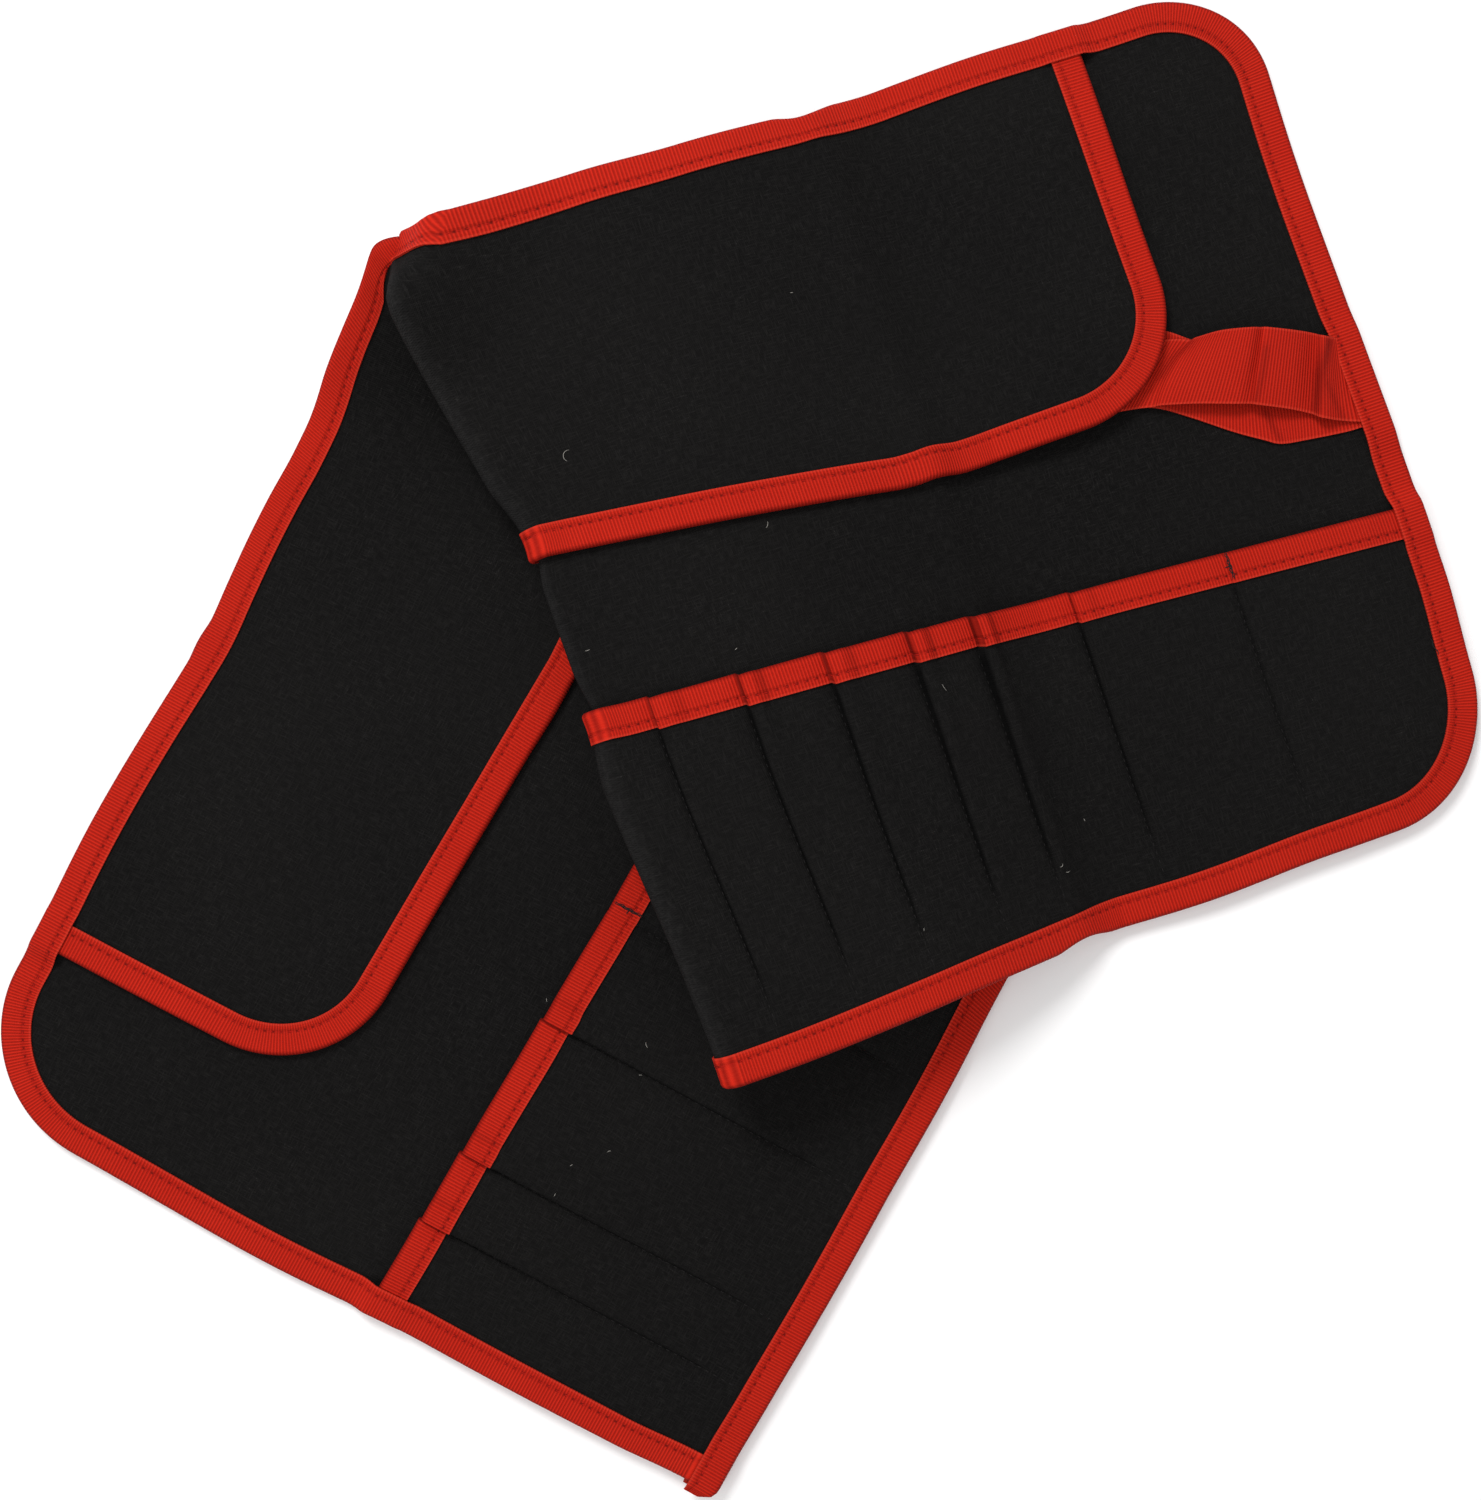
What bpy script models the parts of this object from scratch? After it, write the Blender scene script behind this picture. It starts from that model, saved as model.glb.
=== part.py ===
"""Canvas tool roll bound in ribbed tape, unrolled on a table with one pleat across it.

Every piece is first laid out flat, in three coordinates: along the roll from its left end, across it
from its bottom edge, and up through its layers. pleated, ramped and settled then bend that flat layout
into the shape in which the roll lies. Blender 4.5, metres, +Z up.
"""

import math

import bpy
import numpy as np

# The roll laid flat
ROLL_LENGTH = 0.6215
ROLL_WIDTH = 0.2927
TAPE_SHOWN = 0.0115  # width of the folded tape on each face
CLOTH = 0.001
TAPE = 0.001
GAP = 0.0003  # between neighbouring pieces
ROUND_TOP_LEFT = 0.046
ROUND_TOP_RIGHT = 0.037
ROUND_BOTTOM_RIGHT = 0.043

# The flap
FLAP_FROM_LEFT = 0.0580
FLAP_FROM_RIGHT = 0.0595
FLAP_ROUND = 0.041
FLAP_RISE = 0.075  # length over which the flap rises onto the strap
FLAP_DEPTHS = (  # share of the roll's length, share of its width
    (0.10, 0.378),
    (0.36, 0.397),
    (0.52, 0.385),
    (0.74, 0.448),
    (1.00, 0.444),
)

# The pockets
POCKET_DEPTHS = (  # share of the roll's length, share of its width
    (0.00, 0.468),
    (0.255, 0.442),
    (0.52, 0.433),
    (1.00, 0.350),
)
DIVIDERS = (  # rows of stitches between the pockets: share of the roll's length
    0.055,
    0.097,
    0.181,
    0.255,
    0.573,
    0.623,
    0.671,
    0.718,
    0.750,
    0.809,
    0.894,
)
DIVIDER_HALF = 0.004  # half the width of the dip along a row of stitches
DIP_CLEAR = 0.0035  # from a tape to where the dips begin
DIP_FADE = 0.0115  # length over which they get whole

# The tie strap
STRAP_WIDTH = 0.025
STRAP_FROM_TOP = 0.1465  # its middle, at the right end
STRAP_REACH = 0.100  # from the right end to where its layers end under the flap
STRAP_CLIMB = 0.42  # its climb towards the top edge, for each metre to the left
STRAP_SPREAD = 0.013  # how far the lower layer swings out towards the bottom edge
STRAP_SKEW = 1.7  # above 1, that swing is greatest nearer to the right end
STRAP_ARCH = 0.003  # how far the upper layer rises
STRAP_ARCH_REACH = 0.6  # share of its length over which it does

# How it lies
HEADING = math.radians(61.4)  # of the left part's long edges, from +X
PLEAT_TURN = math.radians(42.3)  # how far the pleat turns the right part
PLEAT_LEAN_HIGH = math.radians(-7.8)  # its middle line, from straight across the roll, at the top edge
PLEAT_LEAN_LOW = math.radians(-9.7)  # and at the bottom edge
APEX_ALONG = 0.5222 * ROLL_LENGTH
APEX_BEYOND = 0.008  # from the top edge to the point that the pleat's folds run to
UNDER_BEND = 0.0085  # radius of the hidden fold, on the back of the roll
OVER_BEND = 0.002  # radius of the fold that shows, on the back of the roll
FULL_BEND = math.radians(174)  # what each fold turns, so that the pleat opens like a wedge
RAMP_BOTTOM = 0.136  # from the fold that shows to where the cloth meets the table
RAMP_TOP = 0.150
RAMP_POWER = 3.0
RAMP_SOFT = 0.005  # height in which the ramp rounds off onto the table
APEX_LIFT = 0.022
APEX_LIFT_REACH = 0.066
SHIFTS = (  # right, up, move right, move up, reach: shares of the roll's width, from the apex
    (-0.01, -0.06, -0.036, -0.017, 0.38),
    (0.35, -0.97, 0.023, -0.005, 0.38),
    (-0.18, -0.34, -0.006, -0.004, 0.37),
)
SHIFT_HEIGHTS = (None, 0.020, None)  # height at which each shift is whole, or None where it always is

# The layers of the sewn roll, counted up from its back
UNDER_LEG = 0.0
BACKING = UNDER_LEG + TAPE + GAP
INNER_LEG = BACKING + CLOTH + GAP
PANEL = INNER_LEG + TAPE + GAP
UPPER_LEG = PANEL + CLOTH + GAP
STACK = UPPER_LEG + TAPE
CLOTH_EDGE = TAPE + 2 * GAP  # from a bound edge's outside to the cloth in it
TAPE_END = TAPE_SHOWN + GAP
FLAP_OVER_STRAP = 2 * (TAPE + GAP)
APEX_ACROSS = ROLL_WIDTH + APEX_BEYOND

# Steps of the meshes
UNDER_STEPS = 7
FLAT_STEPS = 4
OVER_STEPS = 7
CORNER_STEPS = 7
LEFT_STEPS = 5
STRAP_STEPS = 8
STRAP_FOLD_STEPS = 6
LOOP_ROUNDS = 6  # rounds that find where a column meets an edge
NORMAL_STEP = 0.0002
BACKING_ROWS = (0.15, 0.30, 0.45)  # shares of the way across it
FLAP_ROW = 0.25
LEFT_COLUMNS = (0.130, 0.255)  # shares of the roll's length
RAMP_COLUMNS = (0.766, 0.778, 0.790)
ROWS_FROM_TOP = (0.068, 0.110, 0.190)  # shares of the roll's width, past the tape
ROWS_BELOW_FLAP = (0.270, 0.345, 0.395)  # more of them, in the backing under the flap's tape
TAPE_INSIDE = 1.2 * TAPE  # how far the tape's inside corners are cut back


def clear_scene():
    for old in list(bpy.data.objects):
        bpy.data.objects.remove(old)


def looked_up(table, share):
    """Reads the second column of a table at shares of its first."""
    rows = np.array(table)
    return np.interp(share, rows[:, 0], rows[:, 1])


def flap_edge(along):
    return ROLL_WIDTH * (1 - looked_up(FLAP_DEPTHS, along / ROLL_LENGTH))


def pocket_mouth(along):
    return ROLL_WIDTH * looked_up(POCKET_DEPTHS, along / ROLL_LENGTH)


def hump(distance):
    """1 at no distance, falling smoothly to 0 at a distance of 1."""
    return np.clip(1 - distance**2, 0, 1) ** 2


def pleat_sizes(radius):
    """The angle that both folds turn, and the length between them, at a distance from the apex."""
    bends = UNDER_BEND + OVER_BEND
    needed = PLEAT_TURN * radius
    angles = np.linspace(0, FULL_BEND, 400)
    angle = np.interp(needed / bends, angles - np.sin(angles), angles)
    spent = bends * (FULL_BEND - math.sin(FULL_BEND))
    between = np.maximum(needed - spent, 0) / (1 - math.cos(FULL_BEND))
    return angle, between


def pleat_position(along, across):
    """How far a point is past the pleat's start, its distance from the apex and the pleat's sizes there."""
    right = along - APEX_ALONG
    down = APEX_ACROSS - across
    radius = np.hypot(right, down)
    angle, between = pleat_sizes(radius)
    whole = (UNDER_BEND + OVER_BEND) * angle + between
    lean = PLEAT_LEAN_HIGH + (PLEAT_LEAN_LOW - PLEAT_LEAN_HIGH) * radius / ROLL_WIDTH
    start = radius * lean - whole / 2
    past = radius * np.arctan2(right, down) - start
    return past, start, radius, angle, between, whole


def mark_rows():
    """For rows across the roll: where the pleat's two folds start and end along it."""
    across = np.linspace(0, ROLL_WIDTH, 160)
    along = np.linspace(0, ROLL_LENGTH, 2400)
    marks = []
    for row in across:
        past, _, _, angle, between, whole = pleat_position(along, row)
        under_end = UNDER_BEND * angle
        marks.append(
            [np.interp(0, past - edge, along) for edge in (0, under_end, under_end + between, whole)]
        )
    return across, np.array(marks).T


ROWS, MARKS = mark_rows()


def marks_at(across):
    return [np.interp(across, ROWS, mark) for mark in MARKS]


def pleated(along, across):
    """The roll's back, bent by the pleat: an array of x, y and z."""
    past, start, radius, angle, between, whole = pleat_position(along, across)
    under = UNDER_BEND * angle
    first = np.clip(past, 0, under) / UNDER_BEND
    second = np.clip(past - under, 0, between)
    third = np.clip(past - under - between, 0, OVER_BEND * angle) / OVER_BEND
    path = start + np.minimum(past, 0) + np.maximum(past - whole, 0)
    path += UNDER_BEND * np.sin(first) + second * np.cos(angle)
    path += OVER_BEND * (np.sin(angle) - np.sin(angle - third))
    height = UNDER_BEND * (1 - np.cos(first)) + second * np.sin(angle)
    height += OVER_BEND * (np.cos(angle - third) - np.cos(angle))
    turned = HEADING - math.pi / 2 + path / radius
    x = radius * np.cos(turned)
    y = radius * np.sin(turned)
    return np.stack([x, y, ramped(along, across, height)], axis=-1)


def ramped(along, across, height):
    """The height past the pleat, where the right part slopes down from the fold to the table."""
    end = marks_at(across)[3]
    share = across / ROLL_WIDTH
    run = RAMP_BOTTOM + (RAMP_TOP - RAMP_BOTTOM) * share
    part = np.maximum(along - end, 0) / run
    slope = height * (1 - part**RAMP_POWER)
    soft = (slope + RAMP_SOFT) ** 2 / (4 * RAMP_SOFT)
    rounded = np.where(slope > RAMP_SOFT, slope, np.where(slope < -RAMP_SOFT, 0, soft))
    return np.where(part > 0, rounded, height)


def settled(points):
    """Lifts the cloth round the apex, all layers alike, and shifts it where it doesn't lie quite flat."""
    x, y, z = np.moveaxis(points, -1, 0)
    z = z + APEX_LIFT * hump(np.hypot(x, y) / APEX_LIFT_REACH)
    for (right, up, move_right, move_up, reach), whole_at in zip(SHIFTS, SHIFT_HEIGHTS):
        distance = np.hypot(x - right * ROLL_WIDTH, y - up * ROLL_WIDTH) / (reach * ROLL_WIDTH)
        share = hump(distance)
        if whole_at:
            share = share * np.clip((z - STACK) / whole_at, 0, 1)
        x = x + move_right * ROLL_WIDTH * share
        y = y + move_up * ROLL_WIDTH * share
    return np.stack([x, y, z], axis=-1)


def placed(along, across, up):
    """Where a point of the flat layout lies: an array of x, y and z, from the pleat's apex."""
    along, across, up = np.broadcast_arrays(along, across, up)
    step = NORMAL_STEP
    lengthwise = pleated(along + step, across) - pleated(along - step, across)
    crosswise = pleated(along, across + step) - pleated(along, across - step)
    normal = np.cross(lengthwise, crosswise)
    normal /= np.linalg.norm(normal, axis=-1, keepdims=True)
    return settled(pleated(along, across) + normal * up[..., None])


def fold_columns(across):
    """Positions along the roll of the columns that follow the pleat's folds, for rows across it."""
    start, under_end, over_start, end = marks_at(across)
    columns = []
    for low, high, steps in (
        (start, under_end, UNDER_STEPS),
        (under_end, over_start, FLAT_STEPS),
        (over_start, end, OVER_STEPS),
    ):
        columns += [low + (high - low) * step / steps for step in range(steps)]
    return columns + [end]


def column_maker(left, right, left_steps=LEFT_STEPS, right_steps=2):
    """A function that gives all the columns' places along the roll, at rows across it."""

    def columns(across):
        folds = fold_columns(across)
        first = folds[0]
        last = folds[-1]
        near = [left[-1] + (first - left[-1]) * step / left_steps for step in range(1, left_steps)]
        far = [last + (right[0] - last) * step / right_steps for step in range(1, right_steps)]
        fixed = np.ones_like(first)
        return np.array([x * fixed for x in left] + near + folds + far + [x * fixed for x in right])

    return columns


def rounded(radius, steps=CORNER_STEPS):
    """Distances from an end at which a bound round corner's cloth has its points."""
    inner = radius - CLOTH_EDGE
    return [CLOTH_EDGE + inner * (1 - math.cos(math.pi / 2 * step / steps)) for step in range(steps + 1)]


def left_columns():
    return [share * ROLL_LENGTH for share in LEFT_COLUMNS]


def ramp_columns():
    """Columns down the ramp, on both sides of each row of stitches, the same in all pieces."""
    found = [share * ROLL_LENGTH for share in RAMP_COLUMNS]
    for share in DIVIDERS:
        if APEX_ALONG < share * ROLL_LENGTH < found[0]:
            found += [share * ROLL_LENGTH - DIVIDER_HALF, share * ROLL_LENGTH + DIVIDER_HALF]
    return sorted(found)


def rows_under_top(span, shares=ROWS_FROM_TOP):
    """Shares of the way up a sheet that reaches the roll's top edge, for its rows near that edge."""
    below = [share * ROLL_WIDTH for share in shares[::-1]] + [TAPE_SHOWN]
    return [1 - (distance - CLOTH_EDGE) / span for distance in below] + [1]


def corner_drop(from_end, radius):
    """How far a round corner's outline is in from the long edge, at a distance from the end."""
    inside = np.clip(from_end, 0, radius)
    return radius - np.sqrt(inside * (2 * radius - inside))


def grid_between(columns, low, high, shares):
    """Points of the flat layout on columns, at shares of the way from one edge across to another."""
    count = len(columns(np.zeros(1)))
    shares = np.array(shares)
    across = np.full((count, len(shares)), ROLL_WIDTH / 2)
    for _ in range(LOOP_ROUNDS):
        along = np.array([[columns(np.array(row))[k] for row in across[k]] for k in range(count)])
        across = low(along) + (high(along) - low(along)) * shares
    return along, across


def new_object(name, points, faces, material):
    mesh = bpy.data.meshes.new(name)
    mesh.from_pydata([tuple(point) for point in points], [], faces)
    mesh.materials.append(material)
    mesh.update()
    made = bpy.data.objects.new(name, mesh)
    bpy.context.scene.collection.objects.link(made)
    return made


def slab(name, along, across, low, high, material):
    """A closed sheet over a grid of the flat layout, between two heights up through the layers."""
    columns, rows = along.shape
    bottom = placed(along, across, low(along, across)).reshape(-1, 3)
    top = placed(along, across, high(along, across)).reshape(-1, 3)
    count = columns * rows
    faces = []
    for k in range(columns - 1):
        for j in range(rows - 1):
            a = k * rows + j
            b = a + rows
            faces += [(a, a + 1, b + 1), (a, b + 1, b)]
            faces += [(count + a, count + b + 1, count + a + 1), (count + a, count + b, count + b + 1)]
    rim = [j for j in range(rows)]
    rim += [k * rows + rows - 1 for k in range(1, columns)]
    rim += [(columns - 1) * rows + j for j in range(rows - 2, -1, -1)]
    rim += [k * rows for k in range(columns - 2, 0, -1)]
    for first, second in zip(rim, rim[1:] + rim[:1]):
        faces += [(first, count + first, count + second), (first, count + second, second)]
    return new_object(name, np.concatenate([bottom, top]), faces, material)


def folded_tape(name, stations, section, material):
    """A tape folded round an edge: section points (depth from the edge, height) at each station along it.

    Its diagonals run the same way over the flat layout as a slab's, so the two stay apart where they bend.
    """
    flat = []
    for station in stations:
        for depth, up in section:
            along, across, lift = station(depth)
            flat.append((float(along), float(across), float(up + lift)))
    flat = np.array(flat)
    points = placed(*flat.T)
    size = len(section)
    faces = []
    for k in range(len(stations) - 1):
        for j in range(size):
            a = k * size + j
            b = k * size + (j + 1) % size
            c = b + size
            d = a + size
            if (flat[c] - flat[a])[:2].prod() >= (flat[d] - flat[b])[:2].prod():
                faces += [(a, b, c), (a, c, d)]
            else:
                faces += [(a, b, d), (b, c, d)]
    last = (len(stations) - 1) * size
    faces += cap_faces(0, size)
    faces += [tuple(reversed(face)) for face in cap_faces(last, size)]
    return new_object(name, points, faces, material)


def cap_faces(first, size):
    """Triangles over the end of a folded tape, whose section runs down one leg, round the edge and back."""
    half = size // 2
    outer = [first + j for j in range(half)]
    inner = [first + size - 1 - j for j in range(half)]
    faces = []
    for k in range(half - 1):
        faces += [(outer[k], inner[k], inner[k + 1]), (outer[k], inner[k + 1], outer[k + 1])]
    return faces


def tape_section(low, high):
    """The folded tape's section, from the end of its lower leg round the edge to the end of its upper one."""
    outer = [
        (TAPE_SHOWN, low),
        (TAPE, low),
        (0, low + TAPE),
        (0, high - TAPE),
        (TAPE, high),
        (TAPE_SHOWN, high),
    ]
    inner = [
        (TAPE_SHOWN, high - TAPE),
        (TAPE_INSIDE, high - TAPE),
        (TAPE, high - TAPE_INSIDE),
        (TAPE, low + TAPE_INSIDE),
        (TAPE_INSIDE, low + TAPE),
        (TAPE_SHOWN, low + TAPE),
    ]
    return outer + inner


def on_long_edge(columns, number, edge, inward, lift):
    """A station on an edge that runs along the roll: edge gives its place across, at places along."""

    def station(depth):
        along = np.array(ROLL_LENGTH / 2)
        for _ in range(LOOP_ROUNDS):
            across = edge(along) + inward * depth
            along = columns(np.array(across))[number]
        return along, across, lift(along, across)

    return station


def on_corner(centre_along, centre_across, radius, angle, lift):
    def station(depth):
        along = centre_along + (radius - depth) * math.cos(angle)
        across = centre_across + (radius - depth) * math.sin(angle)
        return along, across, lift(along, across)

    return station


def on_end(end, inward, across, lift):
    def station(depth):
        return end + inward * depth, across, lift(end + inward * depth, across)

    return station


def no_lift(along, across):
    return 0.0 * along


def strap_middle(along):
    """The strap's middle line across the roll."""
    from_right = ROLL_LENGTH - along
    return ROLL_WIDTH - STRAP_FROM_TOP + STRAP_CLIMB * from_right


def flap_lift(along, across):
    """How far the flap is held up by the strap under its corner, less towards the roll's top edge."""
    far = ROLL_LENGTH - STRAP_REACH
    share = np.clip(1 + (along - far) / FLAP_RISE, 0, 1)
    strap_top = strap_middle(far) + STRAP_WIDTH / 2
    top = ROLL_WIDTH - TAPE_END
    down = np.maximum(top - across, 0) / (top - strap_top)
    return FLAP_OVER_STRAP * share**2 * (3 - 2 * share) * down


def make_material(name, colour, roughness):
    material = bpy.data.materials.new(name)
    material.use_nodes = True
    shader = material.node_tree.nodes["Principled BSDF"]
    shader.inputs["Base Color"].default_value = (*colour, 1)
    shader.inputs["Roughness"].default_value = roughness
    shader.inputs["Metallic"].default_value = 0
    return material


def outline_columns():
    """Columns with the roll's own round corners in them."""
    left = rounded(ROUND_TOP_LEFT) + left_columns()
    corner = [ROLL_LENGTH - from_end for from_end in rounded(ROUND_BOTTOM_RIGHT)[::-1]]
    return column_maker(left, ramp_columns() + corner)


def make_backing(material):
    columns = outline_columns()

    def low_edge(along):
        return CLOTH_EDGE + corner_drop(ROLL_LENGTH - CLOTH_EDGE - along, ROUND_BOTTOM_RIGHT - CLOTH_EDGE)

    def high_edge(along):
        left = corner_drop(along - CLOTH_EDGE, ROUND_TOP_LEFT - CLOTH_EDGE)
        right = corner_drop(ROLL_LENGTH - CLOTH_EDGE - along, ROUND_TOP_RIGHT - CLOTH_EDGE)
        return ROLL_WIDTH - CLOTH_EDGE - np.maximum(left, right)

    span = ROLL_WIDTH - 2 * CLOTH_EDGE
    shares = [0, (TAPE_SHOWN - CLOTH_EDGE) / span, *BACKING_ROWS]
    shares += rows_under_top(span, ROWS_FROM_TOP + ROWS_BELOW_FLAP)
    along, across = grid_between(columns, low_edge, high_edge, shares)
    slab(
        "backing_panel",
        along,
        across,
        lambda u, v: BACKING + 0 * u,
        lambda u, v: BACKING + CLOTH + 0 * u,
        material,
    )


def divider_dip(along):
    """1 along each row of stitches between the pockets, 0 away from them."""
    nearest = np.full(np.shape(along), ROLL_LENGTH)
    for share in DIVIDERS:
        nearest = np.minimum(nearest, np.abs(along - share * ROLL_LENGTH))
    return np.clip(1 - nearest / DIVIDER_HALF, 0, 1)


def make_pocket_panel(material):
    left = [CLOTH_EDGE]
    right = ramp_columns()
    for share in DIVIDERS:
        dip = [share * ROLL_LENGTH + side for side in (-DIVIDER_HALF, 0, DIVIDER_HALF)]
        if dip[1] < APEX_ALONG:
            left += dip
        elif dip[0] in right:
            right.append(dip[1])
        else:
            right += dip
    corner = [ROLL_LENGTH - from_end for from_end in rounded(ROUND_BOTTOM_RIGHT)[::-1]]
    columns = column_maker(left, sorted(right) + corner, left_steps=2)
    dip_start = TAPE_SHOWN + DIP_CLEAR

    def low_edge(along):
        return CLOTH_EDGE + corner_drop(ROLL_LENGTH - CLOTH_EDGE - along, ROUND_BOTTOM_RIGHT - CLOTH_EDGE)

    def high_edge(along):
        return pocket_mouth(along) - CLOTH_EDGE

    def dip(along, across):
        under_mouth = np.clip((pocket_mouth(along) - across - dip_start) / DIP_FADE, 0, 1)
        over_edge = np.clip((across - dip_start) / DIP_FADE, 0, 1)
        return (TAPE + GAP) * divider_dip(along) * under_mouth * over_edge

    start = dip_start / float(pocket_mouth(APEX_ALONG))
    whole = (dip_start + DIP_FADE) / float(pocket_mouth(ROLL_LENGTH))
    shares = [0, start, whole, 0.5, 1 - whole, 1 - start, 1]
    along, across = grid_between(columns, low_edge, high_edge, shares)
    slab(
        "pocket_panel",
        along,
        across,
        lambda u, v: PANEL - dip(u, v),
        lambda u, v: PANEL + CLOTH - dip(u, v),
        material,
    )


def flap_columns():
    left = [FLAP_FROM_LEFT + from_end for from_end in rounded(FLAP_ROUND)]
    left += [along for along in left_columns() if along > left[-1] + DIVIDER_HALF]
    stop = ROLL_LENGTH - FLAP_FROM_RIGHT
    middle = [along for along in ramp_columns() if along < stop - FLAP_ROUND - DIVIDER_HALF]
    return column_maker(left, middle + [stop - from_end for from_end in rounded(FLAP_ROUND)[::-1]])


def flap_rows():
    """Shares of the way across the flap, from its free edge to the roll's edge."""
    span = float(ROLL_WIDTH - flap_edge(APEX_ALONG)) - 2 * CLOTH_EDGE
    return [0, (TAPE_SHOWN - CLOTH_EDGE) / span, FLAP_ROW] + rows_under_top(span)


def make_flap(material):
    columns = flap_columns()
    radius = FLAP_ROUND - CLOTH_EDGE
    start = FLAP_FROM_LEFT + CLOTH_EDGE
    stop = ROLL_LENGTH - FLAP_FROM_RIGHT - CLOTH_EDGE

    def low_edge(along):
        left = corner_drop(along - start, radius)
        right = corner_drop(stop - along, radius)
        return flap_edge(along) + CLOTH_EDGE + np.maximum(left, right)

    def high_edge(along):
        return ROLL_WIDTH - CLOTH_EDGE + 0 * along

    along, across = grid_between(columns, low_edge, high_edge, flap_rows())
    slab(
        "flap",
        along,
        across,
        lambda u, v: PANEL + flap_lift(u, v),
        lambda u, v: PANEL + CLOTH + flap_lift(u, v),
        material,
    )


def corner_angles(first, last):
    return [math.radians(first + (last - first) * step / CORNER_STEPS) for step in range(1, CORNER_STEPS)]


def make_edge_binding(material):
    columns = column_maker([0.0] + left_columns(), ramp_columns() + [ROLL_LENGTH - ROUND_BOTTOM_RIGHT])
    top_columns = column_maker(
        [ROUND_TOP_LEFT] + left_columns(), ramp_columns() + [ROLL_LENGTH - ROUND_TOP_RIGHT]
    )
    stations = []
    for number in range(len(columns(np.zeros(1)))):
        stations.append(on_long_edge(columns, number, lambda along: 0 * along, 1, no_lift))
    for angle in corner_angles(-90, 0):
        centre = (ROLL_LENGTH - ROUND_BOTTOM_RIGHT, ROUND_BOTTOM_RIGHT)
        stations.append(on_corner(*centre, ROUND_BOTTOM_RIGHT, angle, no_lift))
    for share in (0, 0.5, 1):
        height = ROLL_WIDTH - ROUND_TOP_RIGHT - ROUND_BOTTOM_RIGHT
        stations.append(on_end(ROLL_LENGTH, -1, ROUND_BOTTOM_RIGHT + height * share, no_lift))
    for angle in corner_angles(0, 90):
        centre = (ROLL_LENGTH - ROUND_TOP_RIGHT, ROLL_WIDTH - ROUND_TOP_RIGHT)
        stations.append(on_corner(*centre, ROUND_TOP_RIGHT, angle, no_lift))
    for number in reversed(range(len(top_columns(np.zeros(1))))):
        stations.append(on_long_edge(top_columns, number, lambda along: ROLL_WIDTH + 0 * along, -1, no_lift))
    for angle in corner_angles(90, 180):
        centre = (ROUND_TOP_LEFT, ROLL_WIDTH - ROUND_TOP_LEFT)
        stations.append(on_corner(*centre, ROUND_TOP_LEFT, angle, no_lift))
    for share in (1, 0.5, 0):
        height = ROLL_WIDTH - ROUND_TOP_LEFT - TAPE_END
        stations.append(on_end(0.0, 1, TAPE_END + height * share, no_lift))
    folded_tape("edge_binding", stations, tape_section(UNDER_LEG, STACK), material)


def make_flap_binding(material):
    columns = flap_columns()
    start = FLAP_FROM_LEFT
    stop = ROLL_LENGTH - FLAP_FROM_RIGHT
    left_centre = (start + FLAP_ROUND, float(flap_edge(start + FLAP_ROUND)) + FLAP_ROUND)
    right_centre = (stop - FLAP_ROUND, float(flap_edge(stop - FLAP_ROUND)) + FLAP_ROUND)

    def up_the_end(low):
        rows = [low + (ROLL_WIDTH - CLOTH_EDGE - low) * share for share in flap_rows()[:-2]]
        return rows + [ROLL_WIDTH - TAPE_END]

    stations = []
    for across in reversed(up_the_end(left_centre[1])):
        stations.append(on_end(start, 1, across, flap_lift))
    for angle in corner_angles(180, 270):
        stations.append(on_corner(*left_centre, FLAP_ROUND, angle, flap_lift))
    count = len(columns(np.zeros(1)))
    for number in range(CORNER_STEPS, count - CORNER_STEPS):
        stations.append(on_long_edge(columns, number, flap_edge, 1, flap_lift))
    for angle in corner_angles(270, 360):
        stations.append(on_corner(*right_centre, FLAP_ROUND, angle, flap_lift))
    for across in up_the_end(right_centre[1]):
        stations.append(on_end(stop, -1, across, flap_lift))
    folded_tape("flap_binding", stations, tape_section(INNER_LEG, STACK), material)


def make_pocket_binding(material):
    columns = column_maker([TAPE_END] + left_columns(), ramp_columns() + [ROLL_LENGTH - TAPE_END])
    stations = []
    for number in reversed(range(len(columns(np.zeros(1))))):
        stations.append(on_long_edge(columns, number, pocket_mouth, -1, no_lift))
    folded_tape("pocket_binding", stations, tape_section(INNER_LEG, STACK), material)


def strap_line(share):
    """A point of the strap's middle line: place along, swing towards the bottom edge, height.

    Shares from 0 to 1 are the lower layer, up to 2 the fold at the right end, and up to 3 the upper layer.
    """
    near = ROLL_LENGTH - TAPE_END - TAPE
    far = ROLL_LENGTH - STRAP_REACH
    bend = (TAPE + GAP) / 2
    low = BACKING + CLOTH + GAP + TAPE / 2
    if share <= 1:
        swing = STRAP_SPREAD * math.sin(math.pi * share**STRAP_SKEW) ** 2
        return far + (near - bend - far) * share, swing, low
    if share < 2:
        angle = math.pi * (share - 1)
        return near - bend + bend * math.sin(angle), 0.0, low + bend * (1 - math.cos(angle))
    back = share - 2
    rise = STRAP_ARCH * math.sin(math.pi * min(back / STRAP_ARCH_REACH, 1)) ** 2
    return near - bend + (far - near + bend) * back, 0.0, low + 2 * bend + rise


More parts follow.
